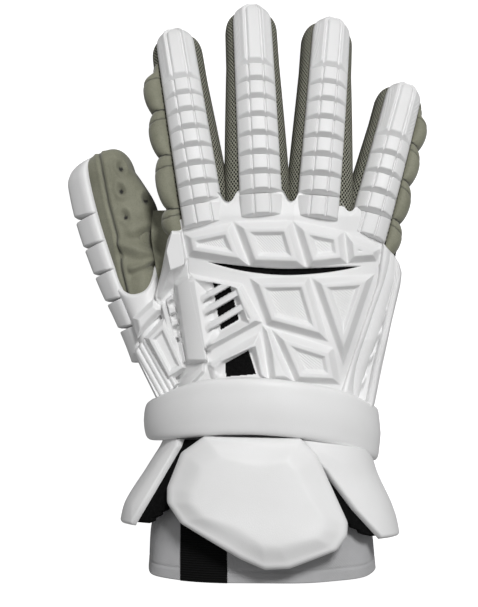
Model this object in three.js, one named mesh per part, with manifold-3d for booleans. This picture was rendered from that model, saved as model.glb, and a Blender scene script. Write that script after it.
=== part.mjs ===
// A right-hand lacrosse glove lying palm down, fingers along +Y, thumb towards -X, back of the hand up.
// Units are millimetres. Shapes are laid out about a drawing origin over the palm, and the finished
// group is moved so that the part's origin is the centre of its footprint on the surface it lies on.
import * as THREE from 'three';
import { mergeVertices } from 'three/addons/utils/BufferGeometryUtils.js';
import Module from 'manifold-3d';

const wasm = await Module();
wasm.setup();

// Driving sizes of walls and fits.
const WALL = 1.8;
const GAP = 0.3;
const SKIN = 2.0;
const PAD_RISE = 7;
const SIDES_HAND = 16;
const ROUNDNESS = 2.6;
const FAR = 400;

// Each digit: base point of its centreline, heading, roll about its own length, pitch at base and tip
// (nose down is positive, degrees), length along the curve, half width and half height.
const DIGITS = {
  index: { x: -21.6, y: 42.6, z: 48.8, yaw: -7.9, roll: 1, dip: [2, 42], length: 119.5, a: 15.6, b: 12.5 },
  middle: { x: 11.4, y: 47.5, z: 51.6, yaw: -2.5, roll: 5.5, dip: [2, 42], length: 128, a: 15.4, b: 12.5 },
  ring: { x: 44.4, y: 46.5, z: 49.4, yaw: 3, roll: 7, dip: [2, 42], length: 121.5, a: 15.2, b: 12.5 },
  little: { x: 72.8, y: 35.5, z: 40.2, yaw: 13.1, roll: 4, dip: [2, 42], length: 96, a: 14.6, b: 11.8 },
  thumb: { x: -44.5, y: -25, z: 33, yaw: -15, roll: -100, dip: [6, 14], length: 118, a: 16.5, b: 14.5 },
};

// The thumb stall is narrow at the crotch and wide at its ball: half depth at places along it.
const THUMB_DEPTH = [
  { along: 0, half: 10.5 },
  { along: 34, half: 9.5 },
  { along: 58, half: 12.5 },
  { along: 84, half: 17.5 },
  { along: 118, half: 16 },
];

// The passage by which the thumb leaves the hollow of the hand.
const THUMB_WAY = { x: -32, y: -43, z: 35, yaw: -20, roll: -100, dip: [6, 6.5], length: 34, a: 13, b: 9 };

// Segmented pads on the digits: half width, rise, length of the tip cap, number of blocks and where the
// first block starts along the digit.
const BACKS = {
  index: { half: 11.6, rise: 7, cap: 37, blocks: 8, start: 1.5 },
  middle: { half: 11.7, rise: 7, cap: 43, blocks: 8, start: 1.5 },
  ring: { half: 11.6, rise: 7, cap: 37, blocks: 8, start: 1.5 },
  little: { half: 11, rise: 7, cap: 38, blocks: 5, start: 2.5 },
  thumb: { half: 14, rise: 8.5, cap: 34, blocks: 5, start: -16 },
};

// Padded side rolls: which side of the digit, and where each bulge ends, measured back from the tip.
const SIDE_ROLLS = {
  index: { side: -1, from: 28, ends: [53, 79, 108, 119] },
  little: { side: 1, from: 18, ends: [39, 61, 83, 95.5] },
};

// Sections of the hand from wrist to knuckles: distance, centre, half width, top, widest and lowest height.
const HAND = [
  { y: -66, x: 15, half: 50, top: 68, mid: 35, low: 4.5 },
  { y: -40, x: 15, half: 50, top: 67, mid: 35, low: 4.5 },
  { y: -10, x: 19, half: 55, top: 66, mid: 38, low: 9 },
  { y: 20, x: 23, half: 61, top: 65, mid: 44, low: 22 },
  { y: 52, x: 26, half: 66, top: 64.5, mid: 50.5, low: 37 },
];
const KNUCKLE_END = 52;
const KNUCKLE_SWEEP = { centre: 26, half: 64, thumb_side: 14, outer_side: 25 };
const OUTER_DROP = { from: 30, slope: 0.17, start: -20, run: 60 };

// Sections of the inner cuff, which lies flat where it rests, and of the bell its loose flaps follow.
const CUFF = [
  { y: -66.5, x: 15, half: 50, top: 68, mid: 35, low: 4.5 },
  { y: -90, x: 14.5, half: 51, top: 71, mid: 36, low: 0 },
  { y: -115, x: 13, half: 60, top: 75.5, mid: 37, low: -3.5 },
  { y: -147, x: 12.5, half: 63.5, top: 76, mid: 38, low: -3.5 },
];
const CUFF_WALL = 3.5;
const CUFF_SLANT = { from: -100, to: -147, top: -5, low: 6 };
const ELASTIC = { left: -32, right: -6.5, end: -95, above: 38 };
const BELL = [
  { y: -60, x: 15, half: 52.5, top: 74, mid: 37, low: -6 },
  { y: -80, x: 14.5, half: 55.5, top: 77, mid: 38, low: -8 },
  { y: -100, x: 11.5, half: 64, top: 80, mid: 38, low: -8 },
  { y: -130, x: 11, half: 75.5, top: 83, mid: 38, low: -8 },
  { y: -150, x: 11, half: 78, top: 82, mid: 38, low: -8 },
];
const LINING = { low: -2.2, high: -0.3 };
const FLAP = { wing: 4, shield_from: 4.3, shield: 9, crown: 12.5, inset: 4 };

// Plan outlines of the loose flaps and of the lining that shows beyond each wing.
const SHIELD = [
  [-19, -72], [33.5, -73], [42.3, -82], [59, -118.7], [58.4, -125.7], [53, -133.2], [27.3, -142.8],
  [13.9, -143.4], [0.5, -137.5], [-31.6, -118.7], [-39.1, -108], [-39.1, -100], [-31.6, -81.2],
];
const WING_THUMB = [[-30.5, -77], [-57.5, -122], [-66, -121], [-90, -70], [-40, -66]];
const WING_OUTER = [
  [31, -79], [44, -90.7], [60.5, -112.5], [75.8, -129], [100, -129], [100, -66], [60, -66],
];
const WING_LOW = { thumb: 18, outer: 26 };
const LINING_THUMB = [
  [-17, -77], [-24, -92], [-30, -104], [-50, -121], [-56, -119], [-80, -72], [-40, -66],
];
const LINING_OUTER = [
  [22, -79], [37, -95], [52, -115], [70, -127], [96, -118], [90, -66], [60, -66],
];

// The fat roll across the wrist: its centreline's bow and lean, its section and how far round it goes.
const ROLL = { y: -57, bow: -14, lean: -4, span: 67, long: 30, thick: 16.4, reach: 115, power: 3.2 };

// Tiles over the knuckles and the back of the hand: plan corners, and whether the middle is sunk.
const KNUCKLE_TILES = [
  { corners: [[-30.7, 38.7], [-3.9, 43.6], [5.8, 20.2], [-27.9, 25.8]] },
  { corners: [[-2.8, 44.0], [28.8, 44.6], [36.4, 19.4], [6.5, 20.3]] },
  { corners: [[29.6, 44.6], [57.2, 39.2], [59.3, 21.9], [37.8, 19.4]] },
  { corners: [[57.9, 38.9], [77, 30.4], [75.4, 23.2], [59.9, 22]] },
];
const BACK_TILES = [
  { corners: [[-26.9, 16.1], [1.6, 10.5], [12.2, -10.3], [-19.2, -27.7]] },
  { corners: [[5.8, 14], [38.2, 14.7], [48.6, -20.8], [15.2, -11.7]] },
  { corners: [[40, 14], [73.6, 15.6], [57.2, -34]] },
  { corners: [[-17.8, -33.2], [11.2, -15.5], [16, -41.6], [-15, -41.6]], sink: 0 },
  { corners: [[12.6, -11.6], [16.9, -13.4], [30.2, -41.6], [16.9, -41.6]], sink: 0 },
  { corners: [[17.6, -13.8], [51.4, -23.5], [55.4, -41.6], [31, -41.6]] },
];
const VENT = {
  frame: [[-21.5, 11.8], [-3.6, 7.4], [2.6, -9.6], [-16.5, -20.2]],
  bars: [[[-22.5, 1.2], [-7, 10.6]], [[-21, -6.6], [-1, 5.2]], [[-19.5, -14.8], [2, -3]]],
  width: 3.6,
};
const WINDOW = [[-7.4, -33.2], [5.1, -25.6], [8.9, -38.1], [-6.7, -39.5]];
const SIDE_TILES = [
  { corners: [[-40, 32.5], [-31.6, 38.6], [-28.8, 20], [-38.5, 0.6], [-43.5, 6]], sink: 0 },
  { corners: [[-27.9, 14.5], [-20, -30.5], [-30, -32], [-35.6, 5.4]], sink: 0 },
];
const LADDER = { path: [[-40, 0], [-36.5, -16], [-33, -34]], rungs: 3 };
const THUMB_TILES = [
  { corners: [[-51, -19], [-41.6, -8], [-35.5, -36.5], [-41.5, -41]] },
];
const THUMB_WEB = [[-57, -14], [-55, 5], [-47, 8], [-41.5, 2], [-35.4, -41.6], [-46, -41.6]];
const OUTER_RAIL = {
  path: [[81.5, 26], [83, 15], [73, -12], [61.5, -46]],
  width: 6,
  rib: [[89, 14], [80.5, -18], [70, -48]],
  rib_width: 4.6,
};

const radians = THREE.MathUtils.degToRad;
const clamp = THREE.MathUtils.clamp;

// A point on a superellipse of half sizes a and b.
function squircle(angle, a, b, power = ROUNDNESS) {
  const c = Math.cos(angle);
  const s = Math.sin(angle);
  return [
    a * Math.sign(c) * Math.abs(c) ** (2 / power),
    b * Math.sign(s) * Math.abs(s) ** (2 / power),
  ];
}

// A closed solid from a triangle list, turned the right way out.
function solid(geometry) {
  const bare = new THREE.BufferGeometry();
  const flat = geometry.index ? geometry.toNonIndexed() : geometry;
  bare.setAttribute('position', flat.getAttribute('position').clone());
  const merged = mergeVertices(bare, 1e-4);
  const p = merged.attributes.position.array;
  const t = new Uint32Array(merged.index.array);
  let volume = 0;
  const v = (i) => new THREE.Vector3(p[3 * i], p[3 * i + 1], p[3 * i + 2]);
  for (let i = 0; i < t.length; i += 3) {
    volume += v(t[i]).dot(v(t[i + 1]).cross(v(t[i + 2])));
  }
  if (volume < 0) {
    for (let i = 0; i < t.length; i += 3) {
      [t[i + 1], t[i + 2]] = [t[i + 2], t[i + 1]];
    }
  }
  return new wasm.Manifold(new wasm.Mesh({ numProp: 3, vertProperties: p, triVerts: t }));
}

// A closed body through rings of equal point count, each end closed by a fan.
function loft(rings) {
  const count = rings[0].length;
  const points = rings.flat();
  const index = [];
  for (let i = 0; i + 1 < rings.length; i++) {
    for (let j = 0; j < count; j++) {
      const k = (j + 1) % count;
      const [a, b] = [i * count + j, i * count + k];
      index.push(a, b, a + count, b, b + count, a + count);
    }
  }
  for (const [ring, start, turn] of [[rings[0], 0, 1], [rings.at(-1), points.length - count, 0]]) {
    const hub = ring.reduce((s, q) => s.add(q), new THREE.Vector3()).divideScalar(count);
    points.push(hub);
    const h = points.length - 1;
    for (let j = 0; j < count; j++) {
      const k = (j + 1) % count;
      index.push(...(turn ? [h, start + k, start + j] : [h, start + j, start + k]));
    }
  }
  const geometry = new THREE.BufferGeometry();
  geometry.setAttribute(
    'position',
    new THREE.Float32BufferAttribute(points.flatMap((q) => [q.x, q.y, q.z]), 3),
  );
  geometry.setIndex(index);
  return solid(geometry);
}

// A vertical prism over a plan outline.
function prism(outline, low = -FAR, high = FAR) {
  const shape = new THREE.Shape(outline.map(([x, y]) => new THREE.Vector2(x, y)));
  const made = new THREE.ExtrudeGeometry(shape, { depth: high - low, bevelEnabled: false });
  return solid(made.translate(0, 0, low));
}

const union = (list) => list.reduce((a, b) => a.add(b));

// A point of a digit's own space (side, along, up) set on its bent centreline.
function onDigit(d, side, along, up) {
  const [p0, p1] = d.dip.map(radians);
  const bend = (p1 - p0) / d.length;
  const p = p0 + bend * along;
  const reach = (Math.sin(p) - Math.sin(p0)) / bend;
  const drop = (Math.cos(p0) - Math.cos(p)) / bend;
  const yaw = radians(d.yaw);
  const ahead = new THREE.Vector3(Math.sin(yaw), Math.cos(yaw), 0);
  const flatSide = new THREE.Vector3(Math.cos(yaw), -Math.sin(yaw), 0);
  const flatUp = ahead.clone().multiplyScalar(Math.sin(p)).setZ(Math.cos(p));
  const roll = radians(d.roll);
  const [c, s] = [Math.cos(roll), Math.sin(roll)];
  const sideways = flatSide.clone().multiplyScalar(c).addScaledVector(flatUp, -s);
  const upwards = flatUp.clone().multiplyScalar(c).addScaledVector(flatSide, s);
  return new THREE.Vector3(d.x, d.y, d.z - drop)
    .addScaledVector(ahead, reach)
    .addScaledVector(sideways, side)
    .addScaledVector(upwards, up);
}

// Where a digit's straight part ends and its round tip begins.
const tipStart = (d) => d.length - d.a;

const taperAt = (d, along) => 1 - 0.1 * clamp(along / d.length, 0, 1);

// Rows of stations round a digit: up its left side, round the tip and down its right side. A row holds
// its place along the centreline and the way outwards, turned from straight ahead.
function stationsRound(d, leftStart, rightStart, steps = 5, tipSteps = 5) {
  const rows = [];
  for (let i = 0; i < steps; i++) {
    rows.push({ along: leftStart + ((tipStart(d) - leftStart) * i) / steps, turn: -Math.PI / 2 });
  }
  for (let i = 0; i <= tipSteps; i++) {
    rows.push({ along: tipStart(d), turn: -Math.PI / 2 + (Math.PI * i) / tipSteps });
  }
  for (let i = steps - 1; i >= 0; i--) {
    rows.push({ along: rightStart + ((tipStart(d) - rightStart) * i) / steps, turn: Math.PI / 2 });
  }
  return rows;
}

// Half height of a digit at a place along it.
function depthAt(d, along) {
  if (d !== DIGITS.thumb) return d.b * taperAt(d, along);
  const next = clamp(THUMB_DEPTH.findIndex((row) => row.along >= along), 1, THUMB_DEPTH.length - 1);
  const [p, q] = [THUMB_DEPTH[next - 1], THUMB_DEPTH[next]];
  return p.half + (q.half - p.half) * clamp((along - p.along) / (q.along - p.along), 0, 1);
}

// A point of a digit's surface, grown or shrunk: level is -90 degrees underneath, 90 on top.
function digitPoint(d, row, level, grow) {
  const [w, up] = squircle(level, d.a * taperAt(d, row.along) + grow, depthAt(d, row.along) + grow);
  return onDigit(d, Math.sin(row.turn) * w, row.along + Math.cos(row.turn) * w, up);
}

// The level at which a digit's surface is a given half width, or a given height, from its centre.
const levelOfWidth = (d, w) => Math.acos((w / d.a) ** (ROUNDNESS / 2));
const levelOfHeight = (d, n) => Math.sign(n) * Math.asin((Math.abs(n) / d.b) ** (ROUNDNESS / 2));
function between(from, to, steps) {
  return Array.from({ length: steps + 1 }, (_, i) => from + ((to - from) * i) / steps);
}

// Levels round a digit from underneath to the top, with one at its seam.
const SEAM_HEIGHT = -4.5;
function digitLevels(d) {
  const seam = levelOfHeight(d, SEAM_HEIGHT);
  const shoulder = levelOfWidth(d, 0.86 * d.a);
  return [...between(-Math.PI / 2, seam, 3), (seam + shoulder) / 2, shoulder, Math.PI / 2];
}

// Faces between the rows and columns of a grid of points.
function gridFaces(points, turned) {
  const faces = [];
  for (let i = 0; i + 1 < points.length; i++) {
    for (let j = 0; j + 1 < points[i].length; j++) {
      const [a, b, c, e] = [points[i][j], points[i + 1][j], points[i + 1][j + 1], points[i][j + 1]];
      faces.push(...(turned ? [a, c, b, a, e, c] : [a, b, c, a, c, e]));
    }
  }
  return faces;
}

// A solid from triangle corners, leaving out faces that have closed up.
function fromFaces(corners) {
  const kept = [];
  for (let i = 0; i < corners.length; i += 3) {
    const [a, b, c] = corners.slice(i, i + 3);
    const area = b.clone().sub(a).cross(c.clone().sub(a)).length();
    if (area > 1e-5) kept.push(a, b, c);
  }
  const geometry = new THREE.BufferGeometry();
  geometry.setAttribute('position', new THREE.Float32BufferAttribute(kept.flatMap((q) => q.toArray()), 3));
  return solid(geometry);
}

// A wall between two grids of points, its first or last column left unwalled where it meets itself.
function wallSolid(outer, inner, { firstMeets = false, lastMeets = false } = {}) {
  const faces = [...gridFaces(outer, false), ...gridFaces(inner, true)];
  const rim = (from, to, turned) => faces.push(...gridFaces([from, to], turned));
  const column = (grid, j) => grid.map((row) => row.at(j));
  rim(outer[0], inner[0], true);
  rim(outer.at(-1), inner.at(-1), false);
  if (!firstMeets) {
    rim(column(outer, 0), column(inner, 0), false);
  }
  if (!lastMeets) {
    rim(column(outer, -1), column(inner, -1), true);
  }
  return fromFaces(faces);
}

function digitWall(d, rows, levels, outer, inner, meets) {
  const grid = (grow) => rows.map((row) => levels.map((level) => {
    return digitPoint(d, row, level, typeof grow === 'function' ? grow(row, level) : grow);
  }));
  return wallSolid(grid(outer), grid(inner), meets);
}

// The whole form of a digit, grown or shrunk, from a place along it to the tip.
function digitBody(d, grow, start) {
  const rows = stationsRound(d, start, start);
  const levels = digitLevels(d);
  const grid = rows.map((row) => levels.map((level) => digitPoint(d, row, level, grow)));
  const faces = gridFaces(grid, false);
  const rim = [...grid[0], ...[...grid.at(-1)].reverse()];
  const hub = onDigit(d, 0, start, 0);
  rim.forEach((q, i) => faces.push(hub, q, rim[(i + 1) % rim.length]));
  return fromFaces(faces);
}

// Height of a digit's surface over a side distance, at a place along it.
function ceilingAt(d, side, along) {
  const past = Math.max(0, along - tipStart(d));
  const width = Math.hypot(side, past) / (d.a * taperAt(d, along));
  return depthAt(d, along) * Math.max(0, 1 - width ** ROUNDNESS) ** (1 / ROUNDNESS);
}

// A segmented pad along a digit: blocks with three facets and dips between, then a long tip cap. The
// shares are of the pad's rise in a dip, of its half width on the crest and of its rise at the shoulder.
const PAD_DIP = 0.3;
const PAD_FACET = 0.42;
const PAD_SHOULDER = 0.55;
const PAD_RAMP = { near: 1.2, far: 2 };
const PAD_SKIRT = 2.5;
const CAP_ROWS = 3;
function digitPad(d, back) {
  const capStart = tipStart(d) + back.half - back.cap;
  const pitch = (capStart - back.start) / back.blocks;
  const rows = [];
  for (let i = 0; i < back.blocks; i++) {
    const from = back.start + pitch * i;
    rows.push([from, PAD_DIP, 1], [from + PAD_RAMP.near, 1, 1], [from + pitch - PAD_RAMP.far, 1, 1]);
  }
  rows.push([capStart, PAD_DIP, 1], [capStart + PAD_RAMP.near, 1, 1]);
  for (let i = 0; i <= CAP_ROWS; i++) {
    const turn = radians((84 * i) / CAP_ROWS);
    rows.push([tipStart(d) + back.half * Math.sin(turn), Math.cos(turn) ** 0.8, Math.cos(turn)]);
  }
  return loft(
    rows.map(([along, tall, wide]) => {
      const w = back.half * wide * taperAt(d, along);
      const top = ceilingAt(d, 0, along) + back.rise * tall;
      const edge = ceilingAt(d, w, along);
      const shoulder = edge + PAD_SHOULDER * back.rise * tall;
      const crest = PAD_FACET * w;
      const cross = [
        [-w, edge - PAD_SKIRT], [-w, shoulder], [-crest, top],
        [crest, top], [w, shoulder], [w, edge - PAD_SKIRT],
      ];
      return cross.map(([u, n]) => onDigit(d, u, along, n));
    }),
  );
}

// How far a padded side roll stands out at a place along its digit.
function bulgeAt(d, roll, along) {
  const back = d.length - along;
  const next = roll.ends.findIndex((e) => back <= e + 1e-6);
  const from = next > 0 ? roll.ends[next - 1] : roll.from;
  const share = clamp((back - from) / (roll.ends[Math.max(next, 0)] - from), 0, 1);
  return 0.8 + 4 * Math.sin(Math.PI * share) ** 0.6;
}

// A section of the hand or cuff at a distance along it, read from its table.
function sectionAt(table, y) {
  const rows = [...table].sort((p, q) => p.y - q.y);
  const at = clamp(y, rows[0].y, rows.at(-1).y);
  const next = Math.max(1, rows.findIndex((r) => r.y >= at));
  const [p, q] = [rows[next - 1], rows[next]];
  const t = (at - p.y) / (q.y - p.y);
  const mix = (key) => p[key] + (q[key] - p[key]) * t;
  return { x: mix('x'), half: mix('half'), top: mix('top'), mid: mix('mid'), low: mix('low') };
}

// The hand's knuckle end sweeps back at both sides, and its outer side drops.
function onHand(x, y, z) {
  const across = (x - KNUCKLE_SWEEP.centre) / KNUCKLE_SWEEP.half;
  const sweep = across < 0 ? KNUCKLE_SWEEP.thumb_side : KNUCKLE_SWEEP.outer_side;
  const drop = OUTER_DROP.slope * Math.max(0, x - OUTER_DROP.from)
    * clamp((y - OUTER_DROP.start) / OUTER_DROP.run, 0, 1);
  return new THREE.Vector3(x, y - (Math.max(0, y) / KNUCKLE_END) * sweep * across * across, z - drop);
}

function ringOf(s, grow, y, place, sides = SIDES_HAND) {
  return Array.from({ length: sides }, (_, j) => {
    const angle = (j * 2 * Math.PI) / sides;
    const tall = Math.sin(angle) > 0 ? s.top - s.mid : s.mid - s.low;
    const [x, z] = squircle(angle, s.half + grow, tall + grow);
    return place(s.x + x, y, s.mid + z);
  });
}

// A body through a table's own sections, grown or shrunk, between two distances.
function tableBody(table, grow, start, end, place = (x, y, z) => new THREE.Vector3(x, y, z), extra = []) {
  const [low, high] = [Math.min(start, end), Math.max(start, end)];
  const inner = [...table.map((row) => row.y), ...extra].filter((y) => y > low + 1 && y < high - 1);
  const places = [low, ...inner.sort((p, q) => p - q), high];
  return loft(places.map((y) => ringOf(sectionAt(table, y), grow, y, place)));
}

const handBody = (grow, start, end) => tableBody(HAND, grow, start, end, onHand, [36]);

// Height of the back of the hand over a plan point.
function backHeight(x, y) {
  const s = sectionAt(HAND, y);
  const across = clamp(Math.abs(x - s.x) / s.half, 0, 0.97);
  const z = s.mid + (s.top - s.mid) * (1 - across ** ROUNDNESS) ** (1 / ROUNDNESS);
  return onHand(x, y, z).z;
}

// The mean of a plan outline's corners.
function middleOf(outline) {
  const sum = outline.reduce((t, c) => [t[0] + c[0], t[1] + c[1]], [0, 0]);
  return sum.map((v) => v / outline.length);
}

// A raised tile: a flat rim with sloping outer sides, round a sunken middle.
function tile({ corners, rise = PAD_RISE, rim = 3.4, sink = 3, slope = 2.2, depth = 14 }) {
  const middle = middleOf(corners);
  const reach = Math.min(...corners.map((c, i) => {
    const e = corners[(i + 1) % corners.length];
    const length = Math.hypot(e[0] - c[0], e[1] - c[1]);
    return Math.abs((e[0] - c[0]) * (c[1] - middle[1]) - (e[1] - c[1]) * (c[0] - middle[0])) / length;
  }));
  const ring = (inset, height) => corners.map((c) => {
    const keep = Math.max(0.1, 1 - inset / reach);
    const x = middle[0] + (c[0] - middle[0]) * keep;
    const y = middle[1] + (c[1] - middle[1]) * keep;
    return new THREE.Vector3(x, y, backHeight(c[0], c[1]) + height);
  });
  const rings = [ring(0, -depth), ring(0, rise * 0.35), ring(slope, rise)];
  if (sink > 0) rings.push(ring(slope + rim * 0.45, rise), ring(slope + rim, rise - sink));
  return loft(rings);
}

// A bevelled strip along a plan path over the back of the hand.
function strip(path, width, rise, depth = 14) {
  return loft(path.map(([x, y], i) => {
    const [before, after] = [path[Math.max(0, i - 1)], path[Math.min(path.length - 1, i + 1)]];
    const ahead = new THREE.Vector2(after[0] - before[0], after[1] - before[1]).normalize();
    const z = backHeight(x, y);
    const [half, crest] = [width / 2, width / 4];
    const cross = [
      [-half, -depth], [-half, rise / 2], [-crest, rise],
      [crest, rise], [half, rise / 2], [half, -depth],
    ];
    return cross.map(([u, n]) => new THREE.Vector3(x + ahead.y * u, y - ahead.x * u, z + n));
  }));
}

// The roll round the wrist, its section grown for clearance.
function rollBody(grow) {
  const steps = 10;
  const sides = 8;
  const wrist = sectionAt(HAND, -60);
  const out = ROLL.thick / 2 + 2 * GAP;
  return loft(Array.from({ length: steps + 1 }, (_, i) => {
    const turn = radians(ROLL.reach * ((2 * i) / steps - 1));
    const round = Math.min(1, 0.55 + 3 * Math.min(i, steps - i) / steps);
    const x = wrist.x + (wrist.half + out) * Math.sin(turn);
    const z = wrist.mid + (wrist.top - wrist.mid + out) * Math.cos(turn);
    const across = (x - wrist.x) / ROLL.span;
    const y = ROLL.y + ROLL.bow * across * across + ROLL.lean * across;
    return Array.from({ length: sides }, (__, j) => {
      const [v, n] = squircle((j * 2 * Math.PI) / sides, (ROLL.long / 2) * round + grow,
        (ROLL.thick / 2) * round + grow, ROLL.power);
      return new THREE.Vector3(x + Math.sin(turn) * n, y + v, z + Math.cos(turn) * n);
    });
  }));
}

const materials = {
  leather: new THREE.MeshStandardMaterial({ color: 0x7d7c66, roughness: 0.75, metalness: 0 }),
  mesh: new THREE.MeshStandardMaterial({ color: 0x5b5b4e, roughness: 0.9, metalness: 0 }),
  white: new THREE.MeshStandardMaterial({ color: 0xe4e4e4, roughness: 0.5, metalness: 0 }),
  cuff: new THREE.MeshStandardMaterial({ color: 0xb4b4b4, roughness: 0.7, metalness: 0 }),
  black: new THREE.MeshStandardMaterial({ color: 0x0c0c0c, roughness: 0.9, metalness: 0 }),
};

const glove = new THREE.Group();

// Adds a solid to the group as one named mesh, keeping its largest body.
function addPiece(name, made, material) {
  const whole = made.decompose().reduce((a, b) => (a.volume() > b.volume() ? a : b));
  const got = whole.getMesh();
  const geometry = new THREE.BufferGeometry();
  geometry.setAttribute('position', new THREE.BufferAttribute(new Float32Array(got.vertProperties), 3));
  geometry.setIndex(new THREE.BufferAttribute(new Uint32Array(got.triVerts), 1));
  geometry.computeVertexNormals();
  const mesh = new THREE.Mesh(geometry, material);
  mesh.name = name;
  glove.add(mesh);
}

// The hollow that the hand fills, and the outer forms round it.
const FINGERS = ['index', 'middle', 'ring', 'little'];
const THUMB_START = -18;
const handOuter = handBody(0, -66, KNUCKLE_END);
const thumbWay = loft([0, THUMB_WAY.length].map((along) => {
  return Array.from({ length: 8 }, (_, j) => {
    const [w, up] = squircle((j * Math.PI) / 4, THUMB_WAY.a, THUMB_WAY.b);
    return onDigit(THUMB_WAY, w, along, up);
  });
}));
const handGrown = handBody(GAP, -67, KNUCKLE_END + 1);
const hollow = union([
  handBody(-WALL, -70, KNUCKLE_END - WALL),
  ...FINGERS.map((name) => digitBody(DIGITS[name], -WALL, -12)),
  digitBody(DIGITS.thumb, -WALL, THUMB_START + WALL),
  thumbWay,
]);
const thumbGrown = digitBody(DIGITS.thumb, GAP, THUMB_START - GAP);
const digitsGrown = union([
  ...FINGERS.map((name) => digitBody(DIGITS[name], GAP, -GAP)),
  thumbGrown,
]);

// Fingers: each is a leather front, a mesh gusset over sides, top and tip, and a padded back.
function finger(name) {
  const d = DIGITS[name];
  const back = BACKS[name];
  const roll = SIDE_ROLLS[name];
  const seam = levelOfHeight(d, SEAM_HEIGHT);
  const slit = GAP / 2 / d.b;
  const rows = stationsRound(d, 0, 0);
  const [, , , , middle, edge, top] = digitLevels(d);
  const front = digitWall(d, rows, between(-Math.PI / 2, seam - slit, 3), 0, -WALL, { firstMeets: true });
  addPiece(name + '_front', front, materials.leather);
  const gusset = digitWall(d, rows, [seam + slit, middle, edge, top], 0, -WALL, { lastMeets: true });
  addPiece(name + '_gusset', gusset, materials.mesh);
  if (roll) {
    const places = [];
    let start = roll.from;
    for (const end of roll.ends) {
      for (const share of [0, 0.25, 0.75]) places.push(start + (end - start) * share);
      start = end;
    }
    const stations = [...places, start].map((behind) => {
      return { along: d.length - behind, turn: (roll.side * Math.PI) / 2 };
    });
    const puff = (row, level) => 2 * GAP + bulgeAt(d, roll, row.along)
      * Math.max(0, Math.sin((Math.PI * (level - seam)) / (edge - seam))) ** 0.5;
    const made = digitWall(d, stations, between(seam + slit, edge, 4), puff, -GAP);
    const clear = made.subtract(handGrown).subtract(digitBody(d, GAP, 0));
    addPiece(name + '_side_roll', clear, materials.leather);
  }
  const pad = digitPad(d, back).subtract(digitBody(d, GAP, 0)).subtract(handGrown);
  addPiece(name + '_back', pad, materials.white);
}
FINGERS.forEach(finger);

// Thumb: a leather stall sewn from two pieces, with its segmented pad on the side away from the hand.
// The seam keeps to a share of the stall's half depth, nearer to the pad, and bends at places along it.
const THUMB_SEAM = 0.35;
const THUMB_SEAM_BENDS = [40, 84];
const THUMB_SEAM_REACH = 60;
const thumbShell = digitBody(DIGITS.thumb, 0, THUMB_START).subtract(hollow).subtract(handGrown);
function thumbHalf(shift, sign) {
  const d = DIGITS.thumb;
  const wide = THUMB_SEAM_REACH;
  const places = [THUMB_START - 5, ...THUMB_SEAM_BENDS, d.length + 5];
  return loft(places.map((along) => {
    const up = THUMB_SEAM * depthAt(d, along) + shift;
    const corners = [[-wide, up], [wide, up], [wide, up + sign * wide], [-wide, up + sign * wide]];
    return corners.map(([side, n]) => onDigit(d, side, along, n));
  }));
}
addPiece('thumb_stall', thumbShell.intersect(thumbHalf(-GAP / 2, -1)), materials.leather);
addPiece('thumb_side', thumbShell.intersect(thumbHalf(GAP / 2, 1)), materials.leather);
const thumbPad = digitPad(DIGITS.thumb, BACKS.thumb).subtract(thumbGrown).subtract(handGrown);
const thumbPadClear = digitPad(DIGITS.thumb, { ...BACKS.thumb, half: BACKS.thumb.half + 0.8 });
addPiece('thumb_back', thumbPad, materials.white);

// Hand: leather palm below the side seam, black lining above it.
const handWall = handOuter.subtract(hollow).subtract(digitsGrown);
function handHalf(shift, sign) {
  return loft(
    [-75, -40, -10, 20, 36, 65].map((y) => {
      const z = sectionAt(HAND, y).mid - 2 + shift;
      return [[-90, z], [150, z], [150, z + sign * 100], [-90, z + sign * 100]].map(([x, h]) => {
        return new THREE.Vector3(x, y, onHand(clamp(x, -60, 90), Math.max(y, -75), h).z);
      });
    }),
  );
}
addPiece('palm', handWall.intersect(handHalf(-GAP / 2, -1)), materials.leather);
addPiece('back_liner', handWall.intersect(handHalf(GAP / 2, 1)), materials.black);

// Back of the hand: tiles standing on a thin white skin over the lining, with openings down to it.
const skin = handBody(GAP + SKIN, -41.6, KNUCKLE_END - 4.5).subtract(handGrown);
const digitPads = union(FINGERS.map((name) => digitBody(DIGITS[name], 0.2, 0)));
const onSkin = (outline, parts) => union([skin.intersect(prism(outline, 40)), ...parts]).subtract(handGrown);
const knuckleOutline = [
  [-31, 60], [-28.6, 24.5], [-17.4, 23.3], [4, 20], [23.2, 18.9], [40, 19.3], [67.3, 20.9], [77, 22.2],
  [81, 60],
];
const backOutline = [
  [-28, 17.2], [-17.4, 22.2], [4, 17.6], [23.2, 15.9], [40, 16.6], [67.3, 19.9], [76.5, 21], [76, 14],
  [58.2, -44], [-17.5, -44],
];
addPiece('knuckle_pad', onSkin(knuckleOutline, KNUCKLE_TILES.map(tile)).subtract(digitPads), materials.white);
const ventBars = VENT.bars.map((path) => strip(path, VENT.width, PAD_RISE - 1.5, 4));
const openings = union([prism(VENT.frame), prism(WINDOW)]);
const backPad = onSkin(backOutline, BACK_TILES.map(tile)).subtract(openings);
addPiece('back_pad', union([backPad, ...ventBars]).subtract(handGrown), materials.white);

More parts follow.
